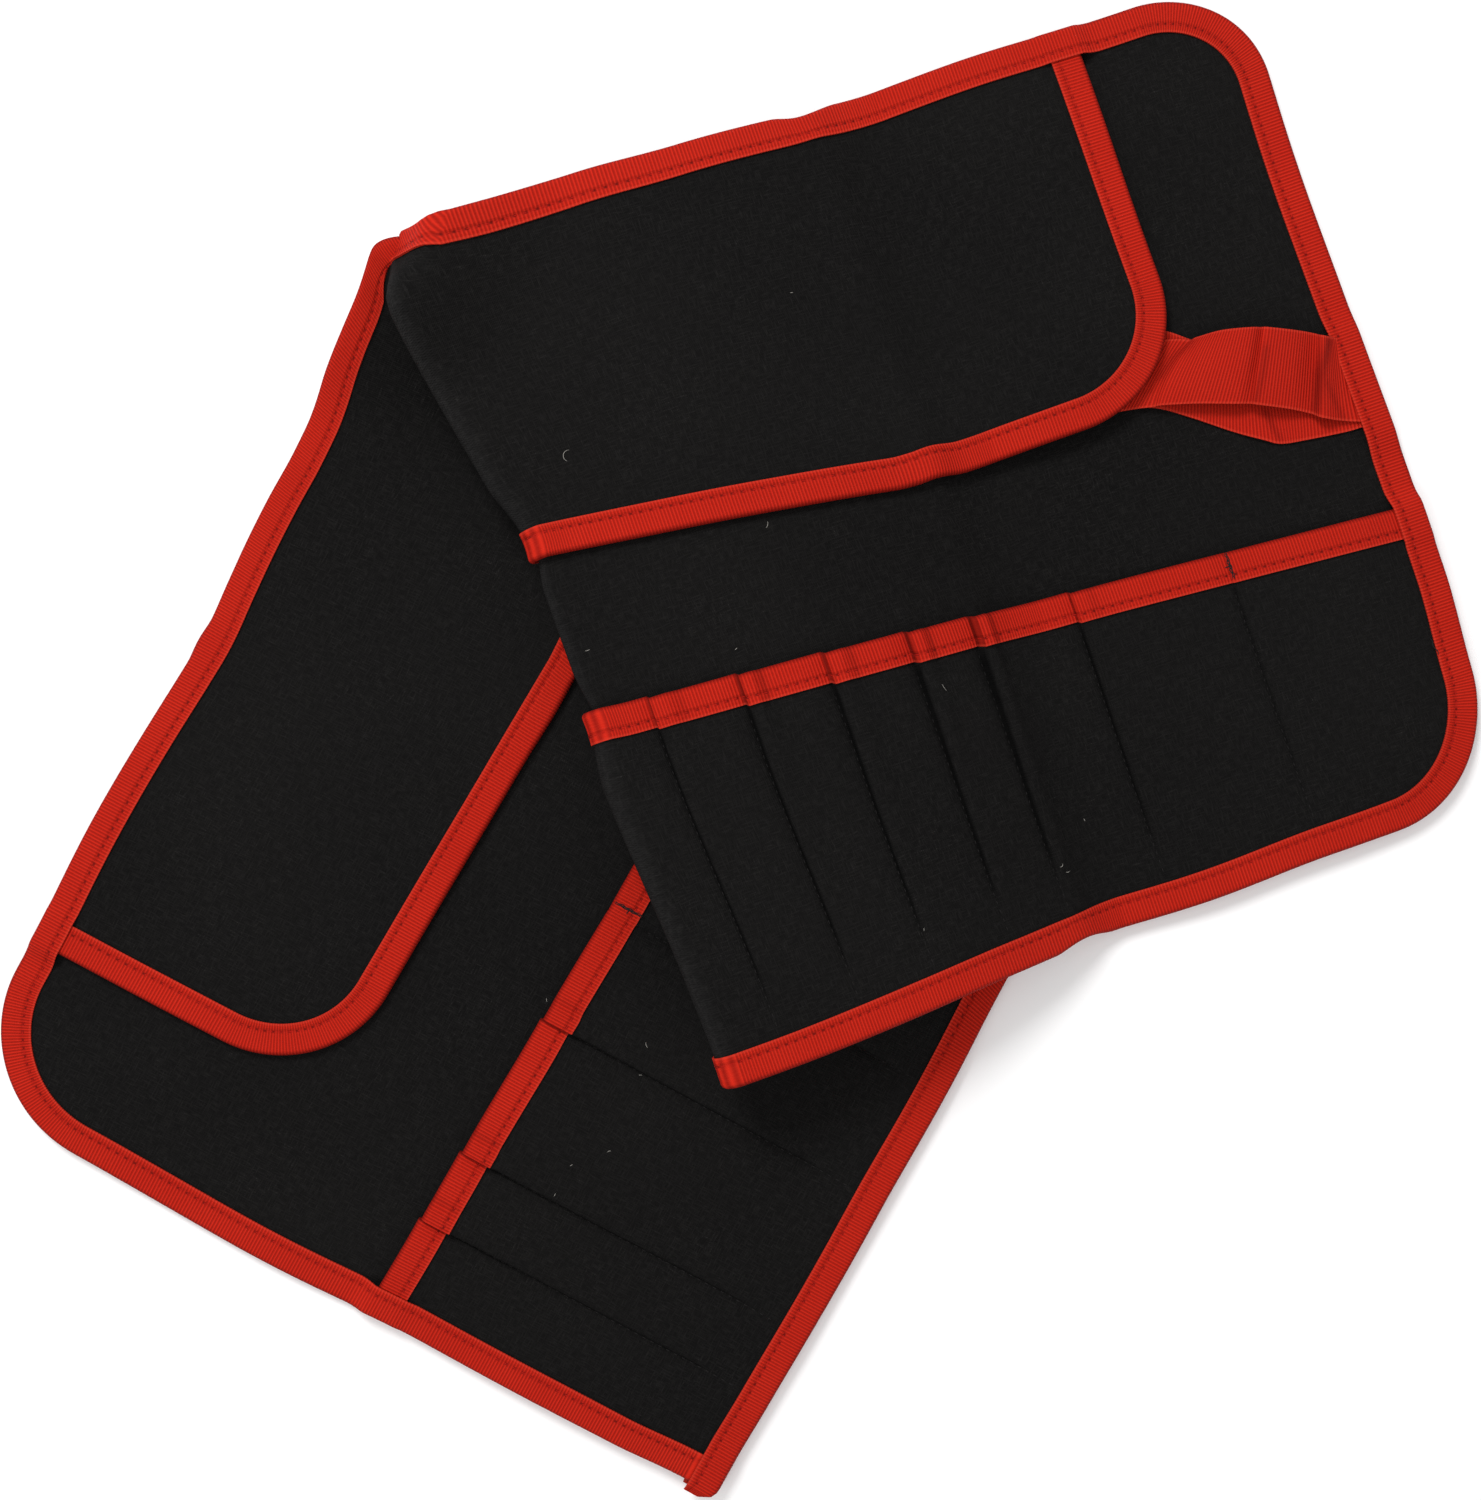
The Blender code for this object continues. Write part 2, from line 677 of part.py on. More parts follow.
def make_strap(material):
    """The band folded at the right end's tape, with both layers running back under the flap's corner."""
    shares = [step / STRAP_STEPS for step in range(STRAP_STEPS)]
    shares += [1 + step / STRAP_FOLD_STEPS for step in range(STRAP_FOLD_STEPS)]
    shares += [2 + step / STRAP_STEPS for step in range(STRAP_STEPS + 1)]
    lines = [strap_line(share) for share in shares]
    points = []
    for number, (along, swing, up) in enumerate(lines):
        before = lines[max(number - 1, 0)]
        after = lines[min(number + 1, len(lines) - 1)]
        run = math.hypot(after[0] - before[0], after[2] - before[2])
        out_along = -(after[2] - before[2]) / run
        out_up = (after[0] - before[0]) / run
        for side in (-1, 0, 1):
            across = float(strap_middle(along)) - swing + side * STRAP_WIDTH / 2
            for face in (-1, 1):
                half = face * TAPE / 2
                points.append(
                    placed(np.array(along + half * out_along), np.array(across), np.array(up + half * out_up))
                )
    ring = (0, 2, 4, 5, 3, 1)
    faces = []
    for k in range(len(lines) - 1):
        for j in range(6):
            a = 6 * k + ring[j]
            b = 6 * k + ring[(j + 1) % 6]
            faces += [(a, b, b + 6), (a, b + 6, a + 6)]
    last = 6 * (len(lines) - 1)
    for a, b, c, d in ((0, 1, 3, 2), (2, 3, 5, 4)):
        faces += [(a, b, c), (a, c, d)]
        faces += [(last + a, last + c, last + b), (last + a, last + d, last + c)]
    return new_object("tie_strap", points, faces, material)


def face_out(made):
    """Turns a closed mesh's faces outwards, where its volume comes out negative."""
    mesh = made.data
    volume = 0.0
    for polygon in mesh.polygons:
        a, b, c = (mesh.vertices[index].co for index in polygon.vertices)
        volume += a.dot(b.cross(c))
    if volume < 0:
        mesh.flip_normals()


def centre_on_table():
    """Moves every piece, so that the origin is in the middle of the object's box, at its bottom."""
    made = list(bpy.context.scene.collection.objects)
    corners = np.array([tuple(vertex.co) for piece in made for vertex in piece.data.vertices])
    low = corners.min(axis=0)
    high = corners.max(axis=0)
    for piece in made:
        face_out(piece)
        for vertex in piece.data.vertices:
            vertex.co.x -= (low[0] + high[0]) / 2
            vertex.co.y -= (low[1] + high[1]) / 2
            vertex.co.z -= low[2]


def main():
    clear_scene()
    canvas = make_material("black canvas", (0.012, 0.011, 0.011), 0.95)
    tape = make_material("red tape", (0.56, 0.02, 0.008), 0.7)
    make_backing(canvas)
    make_pocket_panel(canvas)
    make_flap(canvas)
    make_edge_binding(tape)
    make_flap_binding(tape)
    make_pocket_binding(tape)
    make_strap(tape)
    centre_on_table()


main()
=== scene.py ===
"""Looks of the unrolled canvas tool roll: fine cloth, ribbed tape, tucks, stitches and loose threads.

The layout functions are those of the model, in metres. Every piece is laid out flat: along the roll from its
left end, across it from its bottom edge, and up through its layers. It is then bent into the shape in which it
lies.
"""

import math

import bpy
import numpy as np
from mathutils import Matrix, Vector


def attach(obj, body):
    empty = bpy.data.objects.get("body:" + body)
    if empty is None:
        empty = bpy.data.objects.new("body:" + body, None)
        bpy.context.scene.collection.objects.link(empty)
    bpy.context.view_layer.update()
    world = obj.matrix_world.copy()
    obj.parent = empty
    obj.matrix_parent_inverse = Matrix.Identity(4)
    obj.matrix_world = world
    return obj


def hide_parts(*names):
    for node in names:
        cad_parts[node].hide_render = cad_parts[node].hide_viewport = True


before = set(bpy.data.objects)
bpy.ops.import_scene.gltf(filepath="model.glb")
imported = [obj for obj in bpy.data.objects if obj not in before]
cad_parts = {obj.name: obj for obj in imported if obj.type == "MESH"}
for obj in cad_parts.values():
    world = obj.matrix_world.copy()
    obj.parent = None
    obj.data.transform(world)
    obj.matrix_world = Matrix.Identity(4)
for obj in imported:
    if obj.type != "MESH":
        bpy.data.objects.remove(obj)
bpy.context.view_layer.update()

# The photograph's view
PHOTO_WIDE = 1481
PHOTO_HIGH = 1500
CAMERA_PLACE = (-0.0020, 0.0009, 0.600)
PIXEL = 0.00034  # metres of table that one pixel shows
SENSOR = 36.0  # millimetres

# The roll laid flat, as in the model, but with its rows of stitches where the photograph shows them
ROLL_LENGTH = 0.6215
ROLL_WIDTH = 0.2927
TAPE_SHOWN = 0.0115
CLOTH = 0.001
TAPE = 0.001
GAP = 0.0003
ROUND_TOP_LEFT = 0.046
ROUND_TOP_RIGHT = 0.037
ROUND_BOTTOM_RIGHT = 0.043
FLAP_FROM_LEFT = 0.0580
FLAP_FROM_RIGHT = 0.0595
FLAP_ROUND = 0.041
FLAP_RISE = 0.075
FLAP_DEPTHS = (  # share of the roll's length, share of its width
    (0.10, 0.378),
    (0.36, 0.397),
    (0.52, 0.385),
    (0.74, 0.448),
    (1.00, 0.444),
)
POCKET_DEPTHS = (  # share of the roll's length, share of its width
    (0.00, 0.468),
    (0.255, 0.442),
    (0.52, 0.433),
    (1.00, 0.350),
)
DIVIDERS = [  # place along the roll, tuck's height, tuck's width
    (share * ROLL_LENGTH, tall, wide)
    for share, tall, wide in (
        (0.0605, 0.0024, 0.0085),
        (0.1025, 0.0024, 0.0080),
        (0.1865, 0.0022, 0.0085),
        (0.255, 0.0003, 0.0080),
        (0.570, 0.0022, 0.0095),
        (0.617, 0.0029, 0.0068),
        (0.662, 0.0025, 0.0082),
        (0.706, 0.0029, 0.0064),
        (0.741, 0.0033, 0.0060),
        (0.802, 0.0018, 0.0070),
        (0.888, 0.0003, 0.0080),
    )
]
TUCK_USUAL = 0.0024
TUCK_RISE = 0.0006  # length over which a tuck comes up
TUCK_FLAT = 0.55  # share of a tuck's width before it falls
GAP_SHADE_WIDE = 0.00040  # of the painted shade in the crevice at the foot of a usual tuck
GAP_SHADE_BEFORE = 0.0003  # from that painted shade to the row of stitches
ROW_SHADE_WIDE = 0.00055  # of the painted shade in the valley along a row of stitches
FLAT_ROWS = 0.45  # how dark the painted shade of a row without a tuck is, compared with one that has a whole tuck
LEFT_ROWS = 0.45  # how dark the painted shade of the rows on the left part is, compared with the right part's
TUCK_SHADE = 0.26  # how dark the painted shade in the valley past a usual tuck is, compared with that at its foot
SHADE_WIDE = 0.0011
POCKET_FULL = 0.0011  # how far the pockets' cloth stands up between the rows of stitches
FULL_REACH = 0.005
DIP = 0.0013  # how far it goes down at them
DIP_REACH = 0.0016
LIFT_LOW = 0.28  # share of the lift at the pockets' bottom, compared with their mouth
EDGE_RISE = 0.020  # lengths over which the lift begins past the tape, at the bottom and at the ends
END_RISE = 0.014
MOUTH_FADE = 0.008  # length over which the dip ends under the pockets' tape
JOG = 0.0005  # half the step that the tape's outline makes at a tuck
JOG_WIDE = 0.0003
JOG_REACH = 0.008
STRAP_WIDTH = 0.025
STRAP_FROM_TOP = 0.1465
STRAP_REACH = 0.100
STRAP_CLIMB = 0.42
STRAP_STACK = 0.0020  # its two layers under the tape of the right end
STRAP_LOW = 0.130  # across: between these heights they lie under that tape
STRAP_HIGH = 0.163

# How it lies, as in the model
HEADING = math.radians(61.4)
PLEAT_TURN = math.radians(42.3)
PLEAT_LEAN_HIGH = math.radians(-7.8)
PLEAT_LEAN_LOW = math.radians(-9.7)
APEX_ALONG = 0.5222 * ROLL_LENGTH
APEX_BEYOND = 0.008
APEX_ACROSS = ROLL_WIDTH + APEX_BEYOND
APEX_PLACE = (-0.117586, 0.174785)  # of the apex, in the model's frame
UNDER_BEND = 0.0085
OVER_BEND = 0.002
FULL_BEND = math.radians(174)
RAMP_BOTTOM = 0.136
RAMP_TOP = 0.150
RAMP_POWER = 3.0
RAMP_SOFT = 0.005
APEX_LIFT = 0.022
APEX_LIFT_REACH = 0.066
CALM_START = 0.016  # from the apex: up to here the cloth turns without a fold
CALM_END = 0.031  # from here on the fold is whole
CALM_LEFT = math.radians(-72)  # between these angles round the apex the calm cloth takes up the turn
CALM_RIGHT = math.radians(78)
# Moves of the cloth beside the pleat: right, up, move right, move up, reach, in shares of the roll's width (the
# first two from the apex), and the height over which the move grows, if it does
SHIFTS = (
    (-0.01, -0.06, -0.036, -0.017, 0.38, None),
    (0.35, -0.97, 0.023, -0.005, 0.38, 0.020),
    (-0.18, -0.34, -0.006, -0.004, 0.37, None),
)

NUDGES = (  # pixel of the photograph, its move in pixels (right, down), reach in pixels
    ((30, 960), (-9, -1), 330),
    ((140, 775), (-7, -4), 190),
    ((250, 1220), (-3, 5), 200),
    ((705, 1490), (-4, -7), 300),
    ((703, 1470), (0, -4), 90),
    ((930, 1095), (2, 1), 120),
    ((1200, 890), (1, 4), 130),
    ((1470, 720), (-9, 0), 150),
    ((1335, 190), (-5, 1), 260),
    ((950, 80), (-1, -4), 180),
    ((560, 190), (-1, -5), 120),
    ((330, 420), (4, 1), 100),
    ((265, 560), (-5, -2), 110),
    ((396, 234), (-1, -18), 46),
    ((345, 310), (7, 0), 80),
    ((525, 548), (9, -2), 60),
    ((585, 735), (6, -4), 60),
    ((800, 124), (0, 5), 34),
    ((1080, 940), (-1, -5), 34),
    ((924, 472), (3, -5), 40),
    ((191, 634), (-4, -2), 30),
)
CREASE = ((800, 100), (862, 290), (925, 465), (1003, 700), (1082, 950))  # where it was folded before
CREASE_HIGH = 0.0013
CREASE_WIDE = 0.0055
RIPPLES = (  # height, waves a metre along x and y, offset in waves
    (0.00050, 7.0, 3.0, 0.10),
    (0.00035, -5.0, 11.0, 0.45),
    (0.00020, 19.0, 9.0, 0.70),
)

# The layers of the sewn roll, counted up from its back, as in the model
BACKING = TAPE + GAP
BACKING_TOP = BACKING + CLOTH
INNER_LEG = BACKING_TOP + GAP
PANEL = INNER_LEG + TAPE + GAP
PANEL_TOP = PANEL + CLOTH
STACK = PANEL_TOP + GAP + TAPE
CLOTH_EDGE = TAPE + 2 * GAP
FLAP_OVER_STRAP = 2 * (TAPE + GAP)
TAPE_END = TAPE_SHOWN + GAP

# The strap, by pixels of the photograph (right, down): its upper edge, middle and lower edge, and the height
# of each or of all three
STRAP_LOWER = (
    ((1096, 345), (1088, 382), (1080, 417), 0.0029),
    ((1132, 337), (1125, 374), (1118, 411), 0.0029),
    ((1159, 331), (1157, 370), (1154, 409), 0.0029),
    ((1192, 341), (1191, 380), (1190, 418), 0.0029),
    ((1230, 352), (1232, 392), (1233, 432), 0.0030),
    ((1256, 358), (1259, 399), (1263, 440), 0.0034),
    ((1268, 361), (1274, 402), (1281, 444), 0.0029),
    ((1300, 359), (1304, 399), (1307, 440), 0.0029),
    ((1334, 349), (1342, 392), (1350, 431), 0.0029),
    ((1352, 346), (1364, 386), (1376, 422), 0.0028),
)
STRAP_UPPER = (
    ((1355, 346), (1367, 386), (1379, 422), 0.0032),
    ((1352, 346), (1364, 386), (1376, 422), 0.0036),
    ((1343, 342), (1353, 384), (1364, 422), 0.0037),
    ((1333, 338), (1338, 381), (1342, 421), (0.0052, 0.0052, 0.0048)),
    ((1323, 336), (1323, 376), (1323, 418), (0.0078, 0.0088, 0.0074)),
    ((1314, 334), (1313, 373), (1311, 414), (0.0054, 0.0050, 0.0050)),
    ((1296, 331), (1292, 369), (1288, 409), (0.0076, 0.0078, 0.0068)),
    ((1268, 328), (1263, 366), (1258, 405), (0.0092, 0.0094, 0.0080)),
    ((1260, 328), (1255, 365), (1249, 404), (0.0078, 0.0076, 0.0068)),
    ((1250, 328), (1243, 365), (1234, 404), (0.0094, 0.0094, 0.0078)),
    ((1221, 331), (1208, 367), (1196, 404), (0.0084, 0.0086, 0.0070)),
    ((1197, 338), (1176, 371), (1162, 406), (0.0064, 0.0068, 0.0056)),
    ((1190, 341), (1166, 373), (1152, 408), 0.0044),
    ((1174, 340), (1153, 376), (1135, 410), 0.0041),
    ((1134, 344), (1115, 381), (1096, 417), 0.0041),
    ((1106, 352), (1086, 389), (1066, 425), 0.0041),
)
STRAP_STEPS = 10  # between two of the rows above
STRAP_HEIGHT = 0.007  # of its upper layer, where its creases are
STRAP_CREASES = (  # whether on the upper layer, its line in pixels, width and strength of its painted shade
    (True, ((1263, 349), (1260, 375), (1254, 403)), 0.0012, 0.40),
    (True, ((1328, 341), (1320, 372), (1316, 411)), 0.0016, 0.60),
    (True, ((1321, 378), (1333, 398), (1346, 421)), 0.0012, 0.35),
    (True, ((1192, 343), (1174, 357), (1162, 376)), 0.0014, 0.30),
    (False, ((1267, 408), (1276, 425), (1283, 438)), 0.0012, 0.40),
)

BAR_TACKS = (  # along, across: from, to
    (0.5523, 0.1078, 0.0985),
    (0.1622, 0.1285, 0.1180),
)
LOOSE_END = ((0.6095, 0.0578), (0.6111, 0.0512))  # along, across
LINT = (  # pixel of the photograph (right, down), length in pixels, heading and bend in degrees
    ((569, 450), 16, 270, 160),
    ((585, 651), 5, 20, 30),
    ((639, 1075), 3, 0, 0),
    ((554, 1196), 3, 60, 20),
    ((547, 1002), 4, 100, 0),
    ((611, 1151), 4, 200, 60),
    ((570, 1166), 3, 30, 0),
    ((766, 528), 7, 80, 60),
    ((790, 293), 3, 10, 0),
    ((942, 684), 8, 305, 15),
    ((1060, 867), 5, 60, 120),
    ((1066, 872), 4, 20, 80),
    ((924, 931), 3, 90, 0),
    ((735, 650), 3, 45, 0),
    ((1085, 821), 3, 120, 10),
    ((646, 1042), 6, 290, 60),
)

# Places along the roll between which a piece's columns follow the pleat
CLOTH_FOLD = (0.150, 0.354)
TAPE_FOLD = (0.170, 0.350)
FOLD_STEPS = (14, 26, 16)  # columns between the pleat's four marks
CLOTH_STEPS = (34, 10)  # columns from those places to the pleat, on its left and right
PANEL_STEPS = (24, 10)
TAPE_STEPS = (60, 12)
BACKING_ROWS = 98
PANEL_ROWS = 46
FLAP_ROWS = 42
STEP = 0.003  # between the cloth's columns elsewhere
TAPE_STEP = 0.0018  # between a tape's sections elsewhere

# The tape's own finer shape
THIN = 0.0006  # thickness of its upper leg
TAPE_ABOVE = 0.0107  # width that shows from above, where it is sewn a little back
SEAM = 0.00015  # from it to the cloth that it is sewn to
OVER_TAPE = SEAM + THIN
NOSE = 0.0018  # depth of its round outer edge
INNER_NOSE = 0.0010
SQUARE_PAST = 0.0022  # how far the bottom tape reaches past the left end at the square corner
SQUARE_ROUND = 0.0050
SQUARE_SECTIONS = 14  # sections of the bottom tape over which it comes down from the end's tape
HIDDEN_END = 0.0024  # from the roll's edge to a tape's end under the tape round the roll
SQUARE_COVERED = 0.0010  # width of the end's tape under the bottom tape
LEG_DEPTHS = (0.0030, 0.0045, 0.0060, 0.0075, 0.0090, 0.0103, 0.0112, TAPE_SHOWN)
CLOTH_FADE = 0.007  # lengths over which the tape round the roll comes up onto what it covers
TAPE_FADE = 0.003
STRAP_FADE = 0.011

# Weave and threads
WEAVE_STEP = 0.00075
RIB_STEP = 0.0011
HIGHLIGHT_PAST = 0.0010  # from the middle of the fold that shows to the middle of the painted highlight along it
HIGHLIGHT_REACH = 0.0012
STITCH_STEP = 0.0033
STITCH_LONG = 0.0021
STITCH_RADIUS = 0.00017
STITCH_FROM_INSIDE = 0.0027  # from the tape's inner edge to its stitches
DIVIDER_STITCH_STEP = 0.0030
DIVIDER_STITCH_LONG = 0.0019
THREAD_SIDES = 6
STITCH_SUNK = 0.00022  # how deep a stitch's ends go
BAR_RADIUS = 0.00020
LINT_RADIUS = 0.00009
LINT_HIGH = 0.00012

# Colours
CANVAS_DARK = (0.0036, 0.0034, 0.0035)
CANVAS_PALE = (0.0084, 0.0079, 0.0076)
CANVAS_THREADS = (0.017, 0.0160, 0.0155)
CANVAS_DUST = (0.070, 0.066, 0.062)
# painted highlight along the fold that shows, broken up by fuzz
CANVAS_FOLD_HIGHLIGHT = (0.040, 0.039, 0.039)
# painted shade in the valleys along the pockets' rows of stitches
CANVAS_PAINTED_SHADE = (0.0010, 0.0010, 0.0010)
TAPE_DEEP = (0.49, 0.0125, 0.0045)
TAPE_BRIGHT = (0.62, 0.0220, 0.0085)
TAPE_FIBRES = (0.64, 0.045, 0.022)
# painted shade in the valleys between the tape's ribs
RIB_VALLEY_SHADE = (0.22, 0.0045, 0.0020)
# painted shade along the tape's folded outer edge
TAPE_NOSE_SHADE = (0.12, 0.003, 0.0015)
# painted shade at the foot of the tucks, past them and in the strap's creases
TAPE_PAINTED_SHADE = (0.06, 0.002, 0.001)
SELVAGE = (0.66, 0.050, 0.026)
# painted shade in the needle holes
NEEDLE_HOLE_SHADE = (0.10, 0.003, 0.002)
# painted shade in the stitches' groove
STITCH_GROOVE_SHADE = (0.22, 0.006, 0.003)
RED_THREAD = (0.30, 0.008, 0.005)
BLACK_THREAD = (0.012, 0.011, 0.011)
PALE_LINT = (0.22, 0.21, 0.19)
WHITE = (1.0, 1.0, 1.0, 1)

# Surroundings
FLOOR_REACH = 4.0
SKY = 0.65  # strength
LIGHTS = (  # name, place, width, power
    ("soft_top", (-0.45, 0.90, 1.10), 0.50, 13.5),
    ("soft_side", (-0.55, -0.75, 1.10), 0.8, 3.5),
)


def looked_up(table, share):
    """Reads the second column of a table at shares of its first."""
    rows = np.array(table)
    return np.interp(share, rows[:, 0], rows[:, 1])


def flap_edge(along):
    return ROLL_WIDTH * (1 - looked_up(FLAP_DEPTHS, along / ROLL_LENGTH))


def pocket_mouth(along):
    """Height of the pockets' mouth, which jogs where each tuck laps over the pocket before it."""
    jog = 0.0
    for place, tall, _ in DIVIDERS:
        past = along - place
        side = np.clip(past / JOG_WIDE, -1, 1)
        jog = jog - JOG * min(1.0, tall / TUCK_USUAL) * side * np.exp(-np.abs(past) / JOG_REACH)
    return ROLL_WIDTH * looked_up(POCKET_DEPTHS, along / ROLL_LENGTH) + jog


def bell(distance, reach):
    """1 at no distance, falling on both sides of it."""
    return np.exp(-((distance / reach) ** 2))


def hump(distance):
    """1 at no distance, falling smoothly to 0 at a distance of 1."""
    return np.clip(1 - distance**2, 0, 1) ** 2


def smooth(share):
    """0 up to 0, 1 from 1, and smooth between them."""
    share = np.clip(share, 0, 1)
    return share * share * (3 - 2 * share)


def stacked(*parts):
    """Points from arrays of each of their coordinates."""
    return np.stack(np.broadcast_arrays(*parts), axis=-1)


def unit(vectors):
    return vectors / np.maximum(np.linalg.norm(vectors, axis=-1, keepdims=True), 1e-12)


def run_along(points):
    """How far along their line points are."""
    return np.concatenate([[0], np.cumsum(np.linalg.norm(np.diff(points, axis=0), axis=1))])


def pleat_sizes(radius):
    """The angle through which each fold turns at a distance from the apex, and the length between them."""
    bends = UNDER_BEND + OVER_BEND
    needed = PLEAT_TURN * radius
    angles = np.linspace(0, FULL_BEND, 2000)
    angle = np.interp(needed / bends, angles - np.sin(angles), angles)
    spent = bends * (FULL_BEND - math.sin(FULL_BEND))
    between = np.maximum(needed - spent, 0) / (1 - math.cos(FULL_BEND))
    return angle, between


def pleat_position(along, across):
    right = along - APEX_ALONG
    down = APEX_ACROSS - across
    radius = np.hypot(right, down)
    angle, between = pleat_sizes(radius)
    whole = (UNDER_BEND + OVER_BEND) * angle + between
    lean = PLEAT_LEAN_HIGH + (PLEAT_LEAN_LOW - PLEAT_LEAN_HIGH) * radius / ROLL_WIDTH
    start = radius * lean - whole / 2
    past = radius * np.arctan2(right, down) - start
    return past, start, radius, angle, between, whole


def mark_rows():
    """For rows across the roll: where the pleat's two folds start and end along it."""
    across = np.linspace(0, ROLL_WIDTH, 160)
    along = np.linspace(0, ROLL_LENGTH, 2400)
    marks = []
    for row in across:
        past, _, _, angle, between, whole = pleat_position(along, row)
        under_end = UNDER_BEND * angle
        edges = (0, under_end, under_end + between, whole)
        marks.append([np.interp(0, past - edge, along) for edge in edges])
    return across, np.array(marks).T


ROWS, MARKS = mark_rows()


def marks_at(across):
    return [np.interp(across, ROWS, mark) for mark in MARKS]


def pleated(along, across):
    past, start, radius, angle, between, whole = pleat_position(along, across)
    under = UNDER_BEND * angle
    first = np.clip(past, 0, under) / UNDER_BEND
    second = np.clip(past - under, 0, between)
    third = np.clip(past - under - between, 0, OVER_BEND * angle) / OVER_BEND
    path = start + np.minimum(past, 0) + np.maximum(past - whole, 0)
    path += UNDER_BEND * np.sin(first) + second * np.cos(angle)
    path += OVER_BEND * (np.sin(angle) - np.sin(angle - third))
    height = UNDER_BEND * (1 - np.cos(first)) + second * np.sin(angle)
    height += OVER_BEND * (np.cos(angle - third) - np.cos(angle))
    turned = HEADING - math.pi / 2 + path / radius
    around = np.arctan2(along - APEX_ALONG, APEX_ACROSS - across)
    eased = around - PLEAT_TURN * smooth((around - CALM_LEFT) / (CALM_RIGHT - CALM_LEFT))
    calm_turned = HEADING - math.pi / 2 + eased
    calm = 1 - smooth((radius - CALM_START) / (CALM_END - CALM_START))
    x = radius * (np.cos(turned) * (1 - calm) + np.cos(calm_turned) * calm)
    y = radius * (np.sin(turned) * (1 - calm) + np.sin(calm_turned) * calm)
    return stacked(x, y, ramped(along, across, height) * (1 - calm))


def ramped(along, across, height):
    end = marks_at(across)[3]
    run = RAMP_BOTTOM + (RAMP_TOP - RAMP_BOTTOM) * across / ROLL_WIDTH
    part = np.maximum(along - end, 0) / run
    slope = height * (1 - part**RAMP_POWER)
    soft = (slope + RAMP_SOFT) ** 2 / (4 * RAMP_SOFT)
    rounded = np.where(slope > RAMP_SOFT, slope, np.where(slope < -RAMP_SOFT, 0, soft))
    return np.where(part > 0, rounded, height)


def settled(points):
    """Points of the pleated sheet in the model's frame, moved to where the photograph shows them."""
    x, y, z = np.moveaxis(points, -1, 0)
    z = z + APEX_LIFT * hump(np.hypot(x, y) / APEX_LIFT_REACH)
    for right, up, move_right, move_up, reach, whole_at in SHIFTS:
        share = hump(np.hypot(x - right * ROLL_WIDTH, y - up * ROLL_WIDTH) / (reach * ROLL_WIDTH))
        if whole_at:
            share = share * np.clip((z - STACK) / whole_at, 0, 1)
        x = x + move_right * ROLL_WIDTH * share
        y = y + move_up * ROLL_WIDTH * share
    x = x + APEX_PLACE[0]
    y = y + APEX_PLACE[1]
    z = z + rippled(x, y)
    start_x = x
    start_y = y
    for (right, down), (move_right, move_down), reach in NUDGES:
        place_x, place_y = on_table(right, down)
        share = hump(np.hypot(start_x - place_x, start_y - place_y) / (reach * PIXEL))
        x = x + move_right * PIXEL * share
        y = y - move_down * PIXEL * share
    return stacked(x, y, z)


def on_table(right, down, height=0.0):
    """Where a pixel of the photograph lies, at a height above the table."""
    scale = PIXEL * (CAMERA_PLACE[2] - height) / CAMERA_PLACE[2]
    x = CAMERA_PLACE[0] + (right - PHOTO_WIDE / 2) * scale
    y = CAMERA_PLACE[1] - (down - PHOTO_HIGH / 2) * scale
    return x, y


def rippled(x, y):
    """How far the cloth stands up along the old crease and in its slight waves."""
    high = CREASE_HIGH * bell(line_distance(x, y, CREASE), CREASE_WIDE)
    for wave, waves_x, waves_y, offset in RIPPLES:
        high = high + wave * (1 + np.sin(2 * math.pi * (waves_x * x + waves_y * y + offset)))
    return high


def line_distance(x, y, line, height=0.0):
    """Distance in plan from a line that is given in pixels of the photograph."""
    nearest = np.full(np.shape(x), np.inf)
    for first, last in zip(line, line[1:]):
        x0, y0 = on_table(*first, height)
        x1, y1 = on_table(*last, height)
        square = (x1 - x0) ** 2 + (y1 - y0) ** 2
        share = np.clip(((x - x0) * (x1 - x0) + (y - y0) * (y1 - y0)) / square, 0, 1)
        nearest = np.minimum(nearest, np.hypot(x - x0 - share * (x1 - x0), y - y0 - share * (y1 - y0)))
    return nearest


def placed(along, across, up):
    """Where a point of the flat layout lies in the model's frame: an array of x, y and z."""
    along, across, up = np.broadcast_arrays(along, across, up)
    step = 0.0002
    lengthwise = pleated(along + step, across) - pleated(along - step, across)
    crosswise = pleated(along, across + step) - pleated(along, across - step)
    normal = unit(np.cross(lengthwise, crosswise))
    return settled(pleated(along, across) + normal * up[..., None])


def fixed(along):
    """A column at one place along the roll, as weights of that place and of the pleat's four marks."""
    return np.array([along, 0.0, 0.0, 0.0, 0.0])


def mark(number):
    """The column that follows one of the pleat's marks."""
    weights = np.zeros(5)
    weights[number + 1] = 1
    return weights


def even_stops(places, step):
    """Places along the roll as columns, each with the number of even steps from it to the next."""
    pairs = zip(places, places[1:])
    return [(fixed(first), max(1, math.ceil((last - first) / step - 1e-6))) for first, last in pairs]


def columns_over(left, fold, right, fold_steps, step=STEP):
    """Columns through places on the left part, the pleat inside a fold's two ends, and the right part."""
    near_steps, far_steps = fold_steps
    stops = even_stops([*left, fold[0]], step) + [(fixed(fold[0]), near_steps)]
    stops += [(mark(number), steps) for number, steps in enumerate((*FOLD_STEPS, far_steps))]
    stops += even_stops([fold[1], *right], step) + [(fixed(right[-1]), 0)]
    rows = []
    for (first, steps), (last, _) in zip(stops, stops[1:]):
        rows += [first + (last - first) * number / steps for number in range(steps)]
    return np.array(rows + [stops[-1][0]])


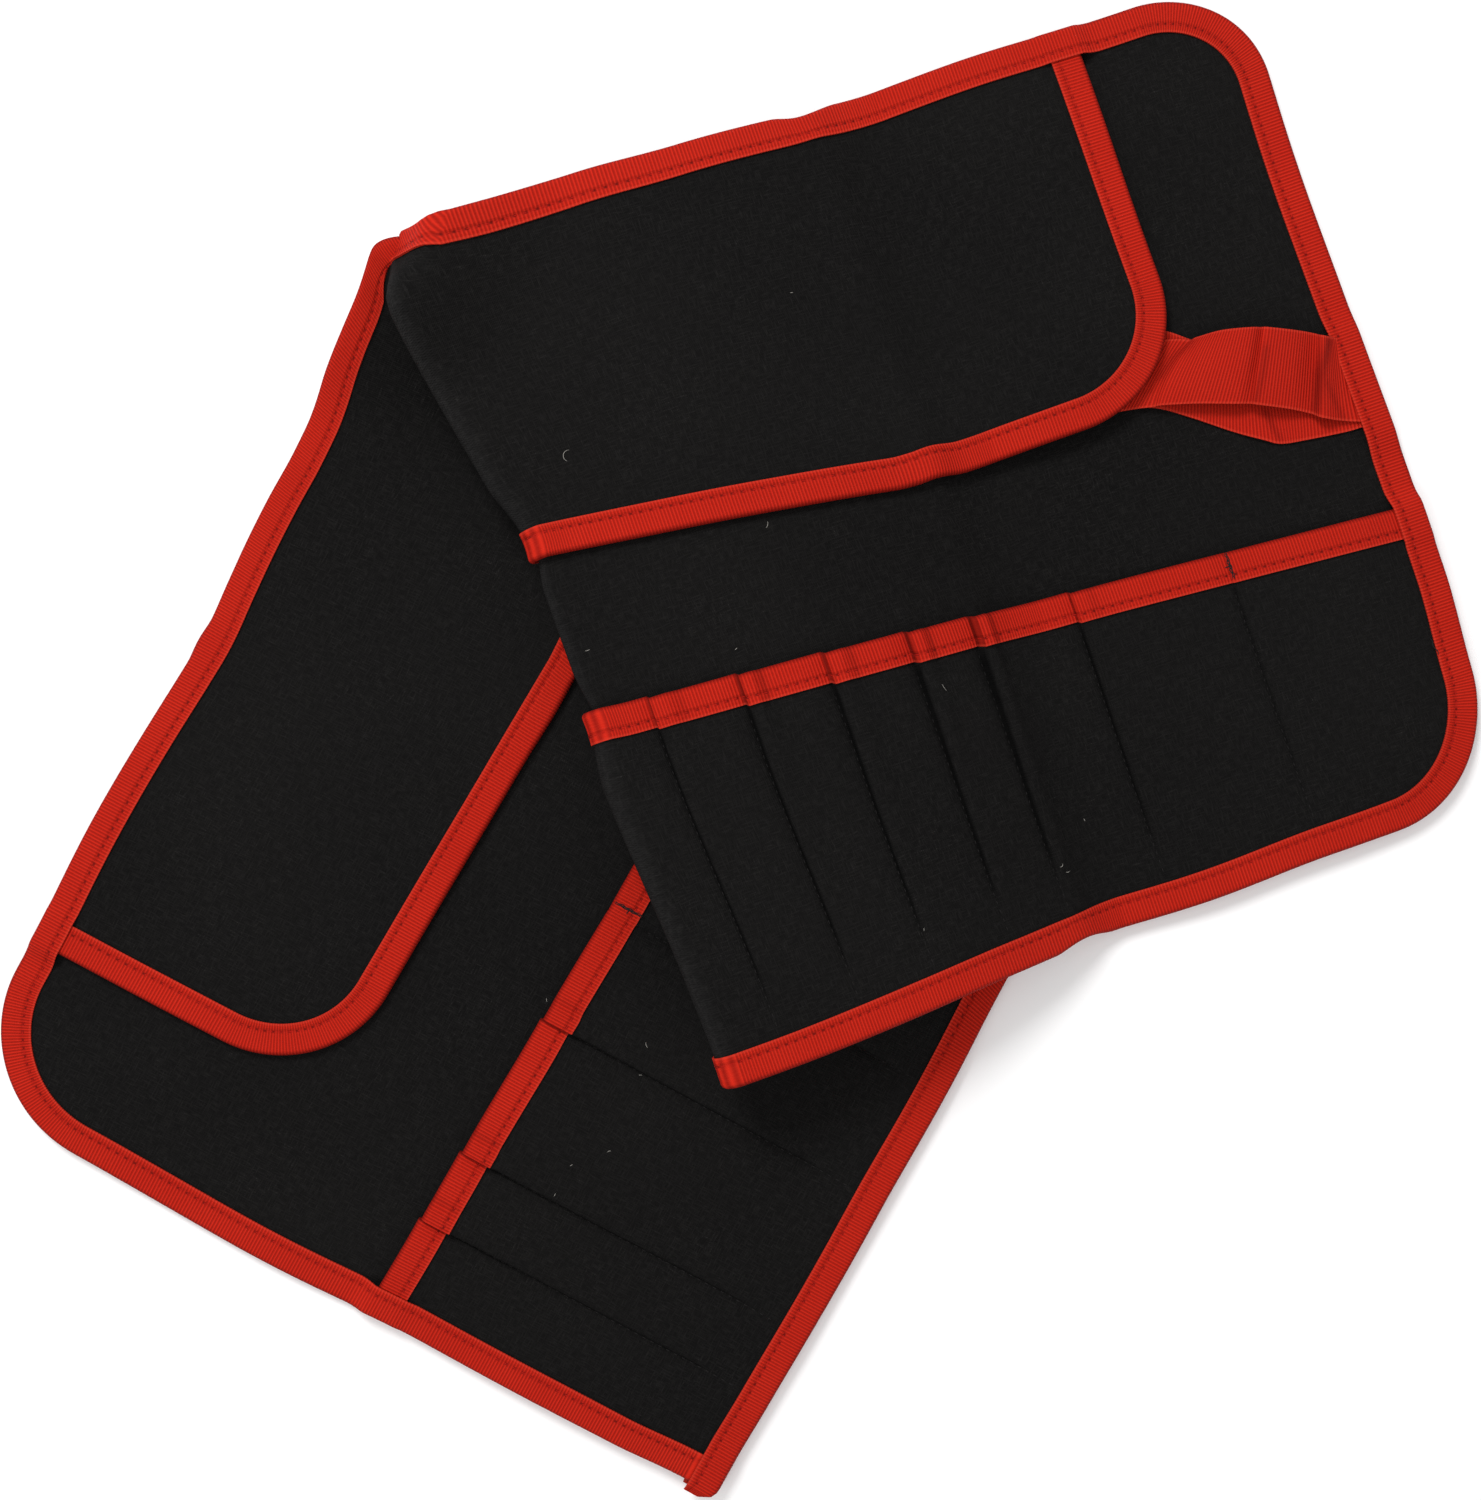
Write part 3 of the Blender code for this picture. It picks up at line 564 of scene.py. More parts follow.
def rounded(radius, steps=16):
    """Distances from an end at which a bound round corner's cloth has its columns."""
    inner = radius - CLOTH_EDGE
    return [CLOTH_EDGE + inner * (1 - math.cos(math.pi / 2 * step / steps)) for step in range(steps + 1)]


def corner_drop(from_end, radius):
    """How far a round corner's edge is from the straight one."""
    inside = np.clip(from_end, 0, radius)
    return radius - np.sqrt(inside * (2 * radius - inside))


def at_columns(columns, across):
    """Places along the roll of columns at heights across it."""
    marks = marks_at(across)
    return columns[:, :1] + sum(columns[:, k + 1 : k + 2] * marks[k] for k in range(4))


def grid_between(columns, low, high, rows):
    """Points of the flat layout on columns, in even rows from one edge across to another."""
    shares = np.linspace(0, 1, rows)
    across = np.full((len(columns), len(shares)), ROLL_WIDTH / 2)
    for _ in range(6):
        along = at_columns(columns, across)
        across = low(along) + (high(along) - low(along)) * shares
    return along, across


def linked(name, data):
    """A new object in the scene."""
    made = bpy.data.objects.new(name, data)
    bpy.context.scene.collection.objects.link(made)
    return made


def finished(name, points, faces, uvs, material, node=None):
    """A smooth mesh object that rides on the roll, with its flat layout as UV, shared by a sheet's sides."""
    mesh = bpy.data.meshes.new(name)
    mesh.from_pydata(points.tolist(), [], faces)
    corners = np.array([index for face in faces for index in face])
    layer = mesh.uv_layers.new(name="flat")
    layer.data.foreach_set("uv", np.resize(uvs, (len(points), 2))[corners].astype(np.float32).ravel())
    mesh.materials.append(material)
    a, b, c, d = (points[[face[corner] for face in faces]] for corner in (0, 1, 2, -1))
    volume = np.einsum("ij,ij->", a, np.cross(b, c)) + np.einsum("ij,ij->", a, np.cross(c, d))
    if volume < 0:
        mesh.flip_normals()
    mesh.shade_smooth()
    mesh.set_sharp_from_angle(angle=math.radians(50))
    made = linked(name, mesh)
    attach(made, "root")
    if node:
        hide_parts(node)
    return made


def sheet_faces(columns, rows):
    """The faces of a closed sheet: a grid of points for its bottom, then the same for its top."""
    count = columns * rows
    k, j = np.meshgrid(np.arange(columns - 1), np.arange(rows - 1), indexing="ij")
    a = (k * rows + j).ravel()
    b = a + rows
    faces = np.stack([a, a + 1, b + 1, b], axis=1).tolist()
    faces += np.stack([a + count, b + count, b + count + 1, a + count + 1], axis=1).tolist()
    rim = list(range(rows))
    rim += [k * rows + rows - 1 for k in range(1, columns)]
    rim += [(columns - 1) * rows + j for j in range(rows - 2, -1, -1)]
    rim += [k * rows for k in range(columns - 2, 0, -1)]
    for first, second in zip(rim, rim[1:] + rim[:1]):
        faces.append((first, count + first, count + second, second))
    return faces


def write_values(made, name, values):
    """Keeps a number for each of a mesh's points, shared by a sheet's two sides, for its material to read."""
    attribute = made.data.attributes.new(name, "FLOAT", "POINT")
    attribute.data.foreach_set("value", np.resize(values, len(made.data.vertices)).astype(np.float32))


def fold_highlight(along, across):
    """Painted highlight: 1 along the middle of the fold that shows, falling to 0 on both sides of it."""
    marks = marks_at(across)
    middle = (marks[2] + marks[3]) / 2 + HIGHLIGHT_PAST
    return bell(along - middle, HIGHLIGHT_REACH)


def cloth_sheet(name, node, columns, edges, rows, level, lift, material, shade=None):
    """A closed sheet of cloth between two edges across the roll, lifted from its level in the layers."""
    along, across = grid_between(columns, *edges, rows)
    lifted = lift(along, across)
    sides = [placed(along, across, height + lifted).reshape(-1, 3) for height in (level, level + CLOTH)]
    faces = sheet_faces(*along.shape)
    uvs = stacked(along, across)
    made = finished(name, np.concatenate(sides), faces, uvs, material, node)
    # the painted highlight along the fold that shows, for the material to lighten the cloth with
    write_values(made, "thread_wear_and_fold_highlight", fold_highlight(along, across))
    # painted shade, where a sheet is given one, for the material to darken the cloth with
    if shade:
        write_values(made, "painted_shade", shade(along, across))
    return made


def nearest_divider(along):
    """How far each place is past its nearest row of stitches, on either side, and that row's tuck."""
    past = np.array([along - place for place, _, _ in DIVIDERS])
    nearest = np.argmin(np.abs(past), axis=0)
    tall = np.array([tall for _, tall, _ in DIVIDERS])[nearest]
    return np.take_along_axis(past, nearest[None], axis=0)[0], tall


def tuck(along):
    """Height of the fold that the pocket's spare cloth makes just past each row of stitches."""
    height = np.zeros_like(along)
    for place, tall, wide in DIVIDERS:
        past = along - place
        fall = smooth((past - TUCK_FLAT * wide) / ((1 - TUCK_FLAT) * wide))
        height += tall * smooth(past / TUCK_RISE + 0.5) * (1 - fall)
    return height


def tuck_painted_shade(along):
    """Painted shade: 1 in the narrow crevice at the foot of each tuck, and less in the soft valley past it."""
    painted_shade = np.zeros_like(along)
    for place, tall, wide in DIVIDERS:
        past = along - place
        size = tall / TUCK_USUAL
        painted_shade += min(1.0, size) * bell(past + GAP_SHADE_BEFORE, GAP_SHADE_WIDE * max(1.0, size) ** 1.5)
        painted_shade += TUCK_SHADE * size**2 * bell(past - wide, SHADE_WIDE)
    return painted_shade


def row_painted_shade(along, across):
    """Painted shade: 1 in the narrow valley of the pockets' cloth along each row of stitches, between the
    tapes.
    """
    shown = smooth((pocket_mouth(along) - across - TAPE_SHOWN + 0.001) / 0.002)
    shown = shown * smooth((across - 1.5 * TAPE_SHOWN) / (2 * TAPE_SHOWN))
    past, tall = nearest_divider(along)
    strength = FLAT_ROWS + (1 - FLAT_ROWS) * np.minimum(1.0, tall / TUCK_USUAL)
    strength = strength * np.where(along < TAPE_FOLD[0], LEFT_ROWS, 1.0)
    return bell(past, ROW_SHADE_WIDE) * shown * strength


def pocket_lift(along, across):
    """How far the pockets' cloth stands up: tucks, the dip at the stitches and the fullness between them."""
    mouth = pocket_mouth(along)
    from_end = np.minimum(along, ROLL_LENGTH - along)
    over_edge = smooth((across - TAPE_SHOWN) / EDGE_RISE) * smooth((from_end - TAPE_SHOWN) / END_RISE)
    share = LIFT_LOW + (1 - LIFT_LOW) * smooth((across / mouth - 0.1) / 0.9) ** 2
    past, _ = nearest_divider(along)
    full = 1 - bell(past, FULL_REACH)
    dip = DIP * np.exp(-np.abs(past / DIP_REACH)) * smooth((mouth - across) / MOUTH_FADE - 1)
    return over_edge * (tuck(along) * share + POCKET_FULL * full * share - dip)


def pocket_top(along, across):
    return PANEL_TOP + pocket_lift(along, across)


def flap_lift(along, across):
    """How far the flap stands up over the strap that lies under its corner."""
    far = ROLL_LENGTH - STRAP_REACH
    strap_top = ROLL_WIDTH - STRAP_FROM_TOP + STRAP_CLIMB * STRAP_REACH + STRAP_WIDTH / 2
    top = ROLL_WIDTH - TAPE_END
    down = np.maximum(top - across, 0) / (top - strap_top)
    return FLAP_OVER_STRAP * smooth(1 + (along - far) / FLAP_RISE) * down


def flap_top(along, across):
    return PANEL_TOP + flap_lift(along, across)


def window(place, start, stop, fade):
    """1 between two places, fading to 0 outside them."""
    return smooth((place - start) / fade + 1) * smooth((stop - place) / fade + 1)


def edge_under(along, across):
    """Height of the top of what lies under the upper leg of the tape round the roll."""
    mouth = pocket_mouth(along)
    over = TAPE_SHOWN
    is_high = across > ROLL_WIDTH / 2
    flap_start = FLAP_FROM_LEFT
    flap_stop = ROLL_LENGTH - FLAP_FROM_RIGHT
    panel = 1 - smooth((across - mouth) / CLOTH_FADE)
    flap = window(along, flap_start, flap_stop, CLOTH_FADE) * is_high
    crossing = window(across, mouth - over, mouth, TAPE_FADE)
    crossing = crossing * (1 - window(along, 2 * over, ROLL_LENGTH - 2 * over, TAPE_FADE))
    ends = window(along, flap_start, flap_start + over, TAPE_FADE)
    ends = (ends + window(along, flap_stop - over, flap_stop, TAPE_FADE)) * is_high
    at_strap = window(across, STRAP_LOW, STRAP_HIGH, STRAP_FADE) * (along > ROLL_LENGTH / 2)
    at_strap = at_strap * smooth((along - ROLL_LENGTH + 3 * over) / over)
    raised = OVER_TAPE * (crossing + ends) + STRAP_STACK * at_strap
    return BACKING_TOP + np.maximum(panel, flap) * (PANEL - BACKING) + raised


def edge_tape_under(along, across):
    """The same for that tape's sections in their order: at the corner the first ones lie on the last."""
    under = edge_under(along, across)
    first = along[:SQUARE_SECTIONS]
    under[:SQUARE_SECTIONS] += OVER_TAPE * (1 - smooth((first - TAPE_SHOWN - 0.0010) / 0.004))
    return under


def nose_points(depth, steps=7):
    """Depth and rise round a folded edge, from its lower side to its upper one."""
    angles = [-math.pi / 2 + math.pi * step / steps for step in range(steps + 1)]
    return [(depth * (1 - math.cos(angle)), (1 + math.sin(angle)) / 2) for angle in angles]


def tape_section():
    """The folded tape's section: depth from the edge, rise from lower to upper leg, outer side or not."""
    lower = [(depth, 0.0) for depth in LEG_DEPTHS[::-1]]
    upper = [(depth * TAPE_ABOVE / TAPE_SHOWN, 1.0) for depth in LEG_DEPTHS]
    outer = lower + nose_points(NOSE) + upper
    inner = lower + [(TAPE + depth, rise) for depth, rise in nose_points(INNER_NOSE)] + upper
    rows = [(depth, rise, 1.0) for depth, rise in outer]
    rows += [(depth, rise, 0.0) for depth, rise in inner[::-1]]
    return np.array(rows)


SECTION = tape_section()


def long_edge(columns, edge, inward, depths):
    """Flat places of a tape's sections on an edge that runs along the roll."""
    across = np.full((len(columns), len(depths)), ROLL_WIDTH / 2)
    for _ in range(6):
        along = at_columns(columns, across)
        across = edge(along) + inward * depths
    return stacked(along, across)


def round_edge(centre, radius, first, last, depths):
    """The same round a corner, between two angles in degrees."""
    steps = max(2, math.ceil(radius * math.radians(abs(last - first)) / TAPE_STEP))
    angles = np.radians(np.linspace(first, last, steps + 1))[1:-1, None]
    reach = radius - depths
    return stacked(centre[0] + reach * np.cos(angles), centre[1] + reach * np.sin(angles))


def straight_edge(end, inward, first, last, depths):
    """The same up or down an end."""
    steps = max(1, math.ceil(abs(last - first) / TAPE_STEP))
    across = np.linspace(first, last, steps + 1)[:, None]
    return stacked(end + inward * depths, across)


def folded_tape(name, node, flat, low, under, material):
    """A tape folded round an edge, from the flat places of its sections.

    low is the height of its lower leg, and under that of what lies under its upper leg.
    """
    count, size = flat.shape[:2]
    along = flat[..., 0]
    across = flat[..., 1]
    outer = SECTION[:, 2]
    rise = SECTION[:, 1]
    bottom = low(along, across) + TAPE * (1 - outer)
    top = under(along, across) + SEAM + THIN * outer
    up = bottom + (top - bottom) * rise
    points = placed(along, across, up).reshape(-1, 3)
    ring = np.arange(size)
    k = np.arange(count - 1)[:, None] * size
    following = (ring + 1) % size
    faces = np.stack([k + ring, k + following, k + size + following, k + size + ring], axis=-1)
    faces = faces.reshape(-1, 4).tolist()
    half = size // 2
    for first, turned in ((0, False), ((count - 1) * size, True)):
        for j in range(half - 1):
            face = (first + j, first + size - 1 - j, first + size - 2 - j, first + j + 1)
            faces.append(face[::-1] if turned else face)
    nose = np.argmin(SECTION[:half, 0])
    run = run_along(flat[:, nose])
    side = np.where(rise >= 0.5, 1.0, -1.0) * SECTION[:, 0]
    return finished(name, points, faces, stacked(run[:, None], side), material, node)


def thread(name, rows, radius, material):
    """Short threads, each given by its points, as one joined mesh of round rods with closed ends."""
    sides = THREAD_SIDES
    around = 2 * math.pi * np.arange(sides)[:, None] / sides
    points = []
    faces = []
    base = 0
    for line in map(np.array, rows):
        count = len(line)
        tangent = unit(np.gradient(line, axis=0))
        side = unit(np.cross(tangent, (0.0, 0.0, 1.0)))
        rise = np.cross(side, tangent)
        size = radius * np.maximum(0.35, np.sin(math.pi * (0.12 + 0.76 * np.linspace(0, 1, count))))
        ring = np.cos(around) * side[:, None] + np.sin(around) * rise[:, None]
        points.append((line[:, None] + size[:, None, None] * ring).reshape(-1, 3))
        last = base + (count - 1) * sides
        for a in range(base, last, sides):
            for k in range(sides):
                following = (k + 1) % sides
                faces.append((a + k, a + following, a + following + sides, a + k + sides))
        faces.append(tuple(range(base, base + sides))[::-1])
        faces.append(tuple(range(last, last + sides)))
        base = last + sides
    points = np.concatenate(points)
    return finished(name, points, faces, points[:, :2], material)


def socket(node, name, value):
    node.inputs[name].default_value = value


class Nodes:
    """Short ways to add a material's nodes and join them. colour is what its tints have made of it so far."""

    def __init__(self, name, roughness, specular):
        self.material = bpy.data.materials.new(name)
        self.material.use_nodes = True
        self.tree = self.material.node_tree
        self.shader = self.tree.nodes["Principled BSDF"]
        socket(self.shader, "Roughness", roughness)
        socket(self.shader, "Specular IOR Level", specular)

    def add(self, kind, **settings):
        node = self.tree.nodes.new(kind)
        for key, value in settings.items():
            setattr(node, key, value)
        return node

    def join(self, source, target):
        self.tree.links.new(source, target)

    def number(self, operation, *values):
        node = self.add("ShaderNodeMath", operation=operation)
        for place, value in enumerate(values):
            if isinstance(value, (int, float)):
                node.inputs[place].default_value = value
            else:
                self.join(value, node.inputs[place])
        return node.outputs[0]

    def times(self, *values):
        return self.number("MULTIPLY", *values)

    def lacking(self, value):
        """What a value lacks to 1."""
        return self.number("SUBTRACT", 1.0, value)

    def kept(self, name):
        """A number that is kept for each of the mesh's points."""
        return self.add("ShaderNodeAttribute", attribute_name=name).outputs["Fac"]

    def noise(self, vector, scale, detail=2.0, rough=0.5):
        """Noise at one scale, or at a scale for each axis."""
        if isinstance(scale, tuple):
            stretch = self.add("ShaderNodeMapping")
            socket(stretch, "Scale", scale)
            self.join(vector, stretch.inputs["Vector"])
            vector = stretch.outputs["Vector"]
            scale = 1.0
        node = self.add("ShaderNodeTexNoise", noise_dimensions="3D")
        socket(node, "Scale", scale)
        socket(node, "Detail", detail)
        socket(node, "Roughness", rough)
        self.join(vector, node.inputs["Vector"])
        return node.outputs["Fac"]

    def between(self, value, low, high):
        """0 up to low, 1 from high."""
        node = self.add("ShaderNodeMapRange", clamp=True)
        self.join(value, node.inputs["Value"])
        socket(node, "From Min", low)
        socket(node, "From Max", high)
        return node.outputs["Result"]

    def mixed(self, share, first, second):
        node = self.add("ShaderNodeMix", data_type="RGBA")
        for value, place in ((share, 0), (first, 6), (second, 7)):
            if hasattr(value, "links"):
                self.join(value, node.inputs[place])
            else:
                node.inputs[place].default_value = value
        return node.outputs[2]

    def tint(self, share, strength, colour):
        self.colour = self.mixed(self.times(share, strength), self.colour, (*colour, 1))

    def end(self, height, distance, strength):
        """Gives the shader the colour and a bump, and hands over the material."""
        self.join(self.colour, self.shader.inputs["Base Color"])
        node = self.add("ShaderNodeBump")
        socket(node, "Strength", strength)
        socket(node, "Distance", distance)
        self.join(height, node.inputs["Height"])
        self.join(node.outputs["Normal"], self.shader.inputs["Normal"])
        return self.material


def flat_places(nodes):
    """The flat layout in metres: as a vector, along and across."""
    uv = nodes.add("ShaderNodeUVMap", uv_map="flat").outputs["UV"]
    split = nodes.add("ShaderNodeSeparateXYZ")
    nodes.join(uv, split.inputs["Vector"])
    return uv, split.outputs["X"], split.outputs["Y"]


def canvas_material():
    """Black canvas: its weave, dust on its threads, a painted highlight along the fold that shows and painted
    shade in the valleys beside the stitches.
    """
    nodes = Nodes("canvas", 0.95, 0.05)
    uv, along, across = flat_places(nodes)
    warp = nodes.noise(uv, (260.0, 1900.0, 1.0))
    weft = nodes.noise(uv, (1900.0, 260.0, 1.0))
    threads = nodes.number("MAXIMUM", warp, weft)
    nodes.colour = nodes.mixed(nodes.noise(uv, 9.0), (*CANVAS_DARK, 1), (*CANVAS_PALE, 1))
    nodes.tint(nodes.between(threads, 0.45, 0.80), 0.60, CANVAS_THREADS)
    patches = nodes.between(nodes.noise(uv, 30.0, 5.0, 0.7), 0.42, 0.80)
    dust = nodes.between(nodes.noise(uv, 2200.0, 2.0, 0.6), 0.56, 0.70)
    dusty = nodes.times(nodes.between(threads, 0.50, 0.78), dust)
    nodes.tint(nodes.times(dusty, patches), 0.70, CANVAS_DUST)
    fuzz = nodes.between(nodes.noise(uv, 1500.0, 4.0, 0.75), 0.30, 0.80)
    # painted highlight along the fold that shows, broken up by fuzz
    nodes.tint(nodes.times(nodes.kept("thread_wear_and_fold_highlight"), fuzz), 0.45, CANVAS_FOLD_HIGHLIGHT)
    # painted shade along the pockets' rows of stitches
    nodes.tint(nodes.kept("painted_shade"), 0.80, CANVAS_PAINTED_SHADE)
    pitch = 2 * math.pi / WEAVE_STEP
    waves = [nodes.number("SINE", nodes.times(place, pitch)) for place in (along, across)]
    height = nodes.number("ADD", threads, nodes.times(nodes.times(*waves), 0.35))
    return nodes.end(height, 0.00025, 0.8)


def tape_material(name="tape", stitched=True):
    """Red ribbed tape, with painted shade in its rib valleys, at the foot of its tucks and in the strap's
    creases; where it is stitched, also painted shade along its folded edge, in the stitches' groove and in
    their holes.
    """
    nodes = Nodes(name, 0.80, 0.08)
    uv, along, across = flat_places(nodes)
    wander = nodes.noise(uv, (150.0, 40.0, 1.0), 1.0)
    rib = nodes.number("ADD", nodes.times(along, 2 * math.pi / RIB_STEP), wander)
    ribs = nodes.number("MULTIPLY_ADD", nodes.number("SINE", rib), 0.5, 0.5)
    fine = nodes.noise(uv, (900.0, 2600.0, 1.0))
    nodes.colour = nodes.mixed(nodes.noise(uv, 35.0, 3.0, 0.6), (*TAPE_DEEP, 1), (*TAPE_BRIGHT, 1))
    # painted shade in the valleys between the ribs
    nodes.tint(nodes.lacking(ribs), 0.74, RIB_VALLEY_SHADE)
    nodes.tint(nodes.between(fine, 0.45, 0.80), 0.16, TAPE_FIBRES)
    depth = nodes.number("ABSOLUTE", across)
    if stitched:
        # painted shade along the folded outer edge
        nodes.tint(nodes.lacking(nodes.between(depth, 0.0003, 0.0016)), 0.60, TAPE_NOSE_SHADE)
    # painted shade at the tucks and in the strap's creases
    nodes.tint(nodes.kept("painted_shade"), 0.80, TAPE_PAINTED_SHADE)
    edge = TAPE_ABOVE if stitched else STRAP_WIDTH / 2
    nodes.tint(nodes.between(depth, edge - 0.0009, edge - 0.0004), 0.35, SELVAGE)
    height = nodes.number("ADD", nodes.times(ribs, 0.8), nodes.times(fine, 0.5))
    if stitched:
        line = TAPE_ABOVE - STITCH_FROM_INSIDE
        off_line = nodes.number("ABSOLUTE", nodes.number("SUBTRACT", depth, line))
        beside = nodes.lacking(nodes.between(off_line, 0.00022, 0.00050))
        groove = nodes.lacking(nodes.between(off_line, 0.00020, 0.00110))
        turn = nodes.number("PINGPONG", along, STITCH_STEP / 2)
        hole_shade = nodes.lacking(nodes.between(turn, 0.00030, 0.00070))
        # painted shade in the needle holes and in the stitches' groove, which is also bumped down
        nodes.tint(nodes.times(hole_shade, beside), 0.85, NEEDLE_HOLE_SHADE)
        nodes.tint(groove, 0.22, STITCH_GROOVE_SHADE)
        height = nodes.number("SUBTRACT", height, nodes.times(groove, 1.2))
    return nodes.end(height, 0.00030, 1.0)


def plain_thread(name, colour):
    nodes = Nodes(name, 0.90, 0.08)
    thread_wear_and_fold_highlight = nodes.noise(nodes.add("ShaderNodeTexCoord").outputs["Object"], 1800.0)
    lighter = [min(1.0, part * 1.8) for part in colour]
    nodes.colour = nodes.mixed(thread_wear_and_fold_highlight, (*colour, 1), (*lighter, 1))
    return nodes.end(thread_wear_and_fold_highlight, 0.00008, 0.6)


def no_height(along, across):
    return 0 * along


def bottom_edge(along):
    """The cloth's bottom edge, with its round corner on the right."""
    return CLOTH_EDGE + corner_drop(ROLL_LENGTH - CLOTH_EDGE - along, ROUND_BOTTOM_RIGHT - CLOTH_EDGE)


def top_edge(along):
    """The cloth's top edge, with its two round corners."""
    left = corner_drop(along - CLOTH_EDGE, ROUND_TOP_LEFT - CLOTH_EDGE)
    right = corner_drop(ROLL_LENGTH - CLOTH_EDGE - along, ROUND_TOP_RIGHT - CLOTH_EDGE)
    return ROLL_WIDTH - CLOTH_EDGE - np.maximum(left, right)


def right_corner():
    """Places along the roll at which its round bottom corner has columns."""
    return [ROLL_LENGTH - from_end for from_end in rounded(ROUND_BOTTOM_RIGHT)[::-1]]


def make_backing(material):
    columns = columns_over(rounded(ROUND_TOP_LEFT), CLOTH_FOLD, right_corner(), CLOTH_STEPS)
    edges = (bottom_edge, top_edge)
    return cloth_sheet(
        "backing_cloth", "backing_panel", columns, edges, BACKING_ROWS, BACKING, no_height, material
    )


def divider_places(low, high):
    """Places along the roll that draw each row of stitches' tuck finely, between two limits."""
    places = []
    for middle, _, wide in DIVIDERS:
        for past in (-0.004, -0.002, -0.001, -0.0004, -0.00015, 0.00015, 0.0004, 0.001, 0.002, 0.004, wide):
            if low < middle + past < high:
                places.append(middle + past)
    return sorted(places)


def make_pocket_panel(material):
    corner = right_corner()
    left = [CLOTH_EDGE] + divider_places(CLOTH_EDGE, TAPE_FOLD[0])
    columns = columns_over(left, TAPE_FOLD, divider_places(TAPE_FOLD[1], corner[0]) + corner, PANEL_STEPS)
    edges = (bottom_edge, lambda along: pocket_mouth(along) - CLOTH_EDGE)
    # the pockets' cloth gets painted shade along its rows of stitches
    return cloth_sheet(
        "pocket_cloth", "pocket_panel", columns, edges, PANEL_ROWS, PANEL, pocket_lift, material, row_painted_shade
    )


def make_flap(material):
    left = [FLAP_FROM_LEFT + from_end for from_end in rounded(FLAP_ROUND)]
    right = [ROLL_LENGTH - FLAP_FROM_RIGHT - from_end for from_end in rounded(FLAP_ROUND)[::-1]]
    columns = columns_over(left, CLOTH_FOLD, right, CLOTH_STEPS)

    def low_edge(along):
        radius = FLAP_ROUND - CLOTH_EDGE
        start = corner_drop(along - FLAP_FROM_LEFT - CLOTH_EDGE, radius)
        stop = corner_drop(ROLL_LENGTH - FLAP_FROM_RIGHT - CLOTH_EDGE - along, radius)
        return flap_edge(along) + CLOTH_EDGE + np.maximum(start, stop)

    edges = (low_edge, lambda along: ROLL_WIDTH - CLOTH_EDGE + 0 * along)
    return cloth_sheet("flap_cloth", "flap", columns, edges, FLAP_ROWS, PANEL, flap_lift, material)


def tape_columns(first, last, extra=()):
    """Columns of a tape along the roll, between two places."""
    left = [first] + [place for place in extra if first < place < TAPE_FOLD[0]]
    right = [place for place in extra if TAPE_FOLD[1] < place < last] + [last]
    return columns_over(left, TAPE_FOLD, right, TAPE_STEPS, TAPE_STEP)


def edge_places(depths=SECTION[:, 0]):
    """Flat places of the sections of the tape round the roll, from the square corner round to it."""
    bottom = tape_columns(-SQUARE_PAST, ROLL_LENGTH - ROUND_BOTTOM_RIGHT)
    top = tape_columns(ROUND_TOP_LEFT, ROLL_LENGTH - ROUND_TOP_RIGHT)[::-1]
    right_low = (ROLL_LENGTH - ROUND_BOTTOM_RIGHT, ROUND_BOTTOM_RIGHT)
    right_high = (ROLL_LENGTH - ROUND_TOP_RIGHT, ROLL_WIDTH - ROUND_TOP_RIGHT)
    left_high = (ROUND_TOP_LEFT, ROLL_WIDTH - ROUND_TOP_LEFT)
    flat = np.concatenate(
        [
            long_edge(bottom, lambda along: 0 * along, 1, depths),
            round_edge(right_low, ROUND_BOTTOM_RIGHT, -90, 0, depths),
            straight_edge(ROLL_LENGTH, -1, ROUND_BOTTOM_RIGHT, ROLL_WIDTH - ROUND_TOP_RIGHT, depths),
            round_edge(right_high, ROUND_TOP_RIGHT, 0, 90, depths),
            long_edge(top, lambda along: ROLL_WIDTH + 0 * along, -1, depths),
            round_edge(left_high, ROUND_TOP_LEFT, 90, 180, depths),
            straight_edge(0.0, 1, ROLL_WIDTH - ROUND_TOP_LEFT, TAPE_END + 0.0006, depths),
            straight_edge(0.0, 1, TAPE_END, TAPE_SHOWN - SQUARE_COVERED, depths)[-1:],
        ]
    )
    start = flat[:SQUARE_SECTIONS]
    drop = corner_drop(start[..., 0] + SQUARE_PAST, SQUARE_ROUND)
    start[..., 1] = drop + start[..., 1] * (1 - drop / TAPE_SHOWN)
    if len(depths) == len(SECTION):
        flat[-1, SECTION[:, 1] < 0.5, 1] = TAPE_END
    return flat


def flap_places(depths=SECTION[:, 0]):
    """The same for the flap's tape, from the roll's edge down, along and up again."""
    start = FLAP_FROM_LEFT
    stop = ROLL_LENGTH - FLAP_FROM_RIGHT
    left = (start + FLAP_ROUND, float(flap_edge(start + FLAP_ROUND)) + FLAP_ROUND)
    right = (stop - FLAP_ROUND, float(flap_edge(stop - FLAP_ROUND)) + FLAP_ROUND)
    top = ROLL_WIDTH - HIDDEN_END
    return np.concatenate(
        [
            straight_edge(start, 1, top, left[1], depths),
            round_edge(left, FLAP_ROUND, 180, 270, depths),
            long_edge(tape_columns(left[0], right[0]), flap_edge, 1, depths),
            round_edge(right, FLAP_ROUND, 270, 360, depths),
            straight_edge(stop, -1, right[1], top, depths),
        ]
    )


def pocket_places(depths=SECTION[:, 0]):
    """The same for the tape over the pockets' mouth, from right to left."""
    first = HIDDEN_END
    last = ROLL_LENGTH - HIDDEN_END
    columns = tape_columns(first, last, divider_places(first, last))[::-1]
    return long_edge(columns, pocket_mouth, -1, depths)


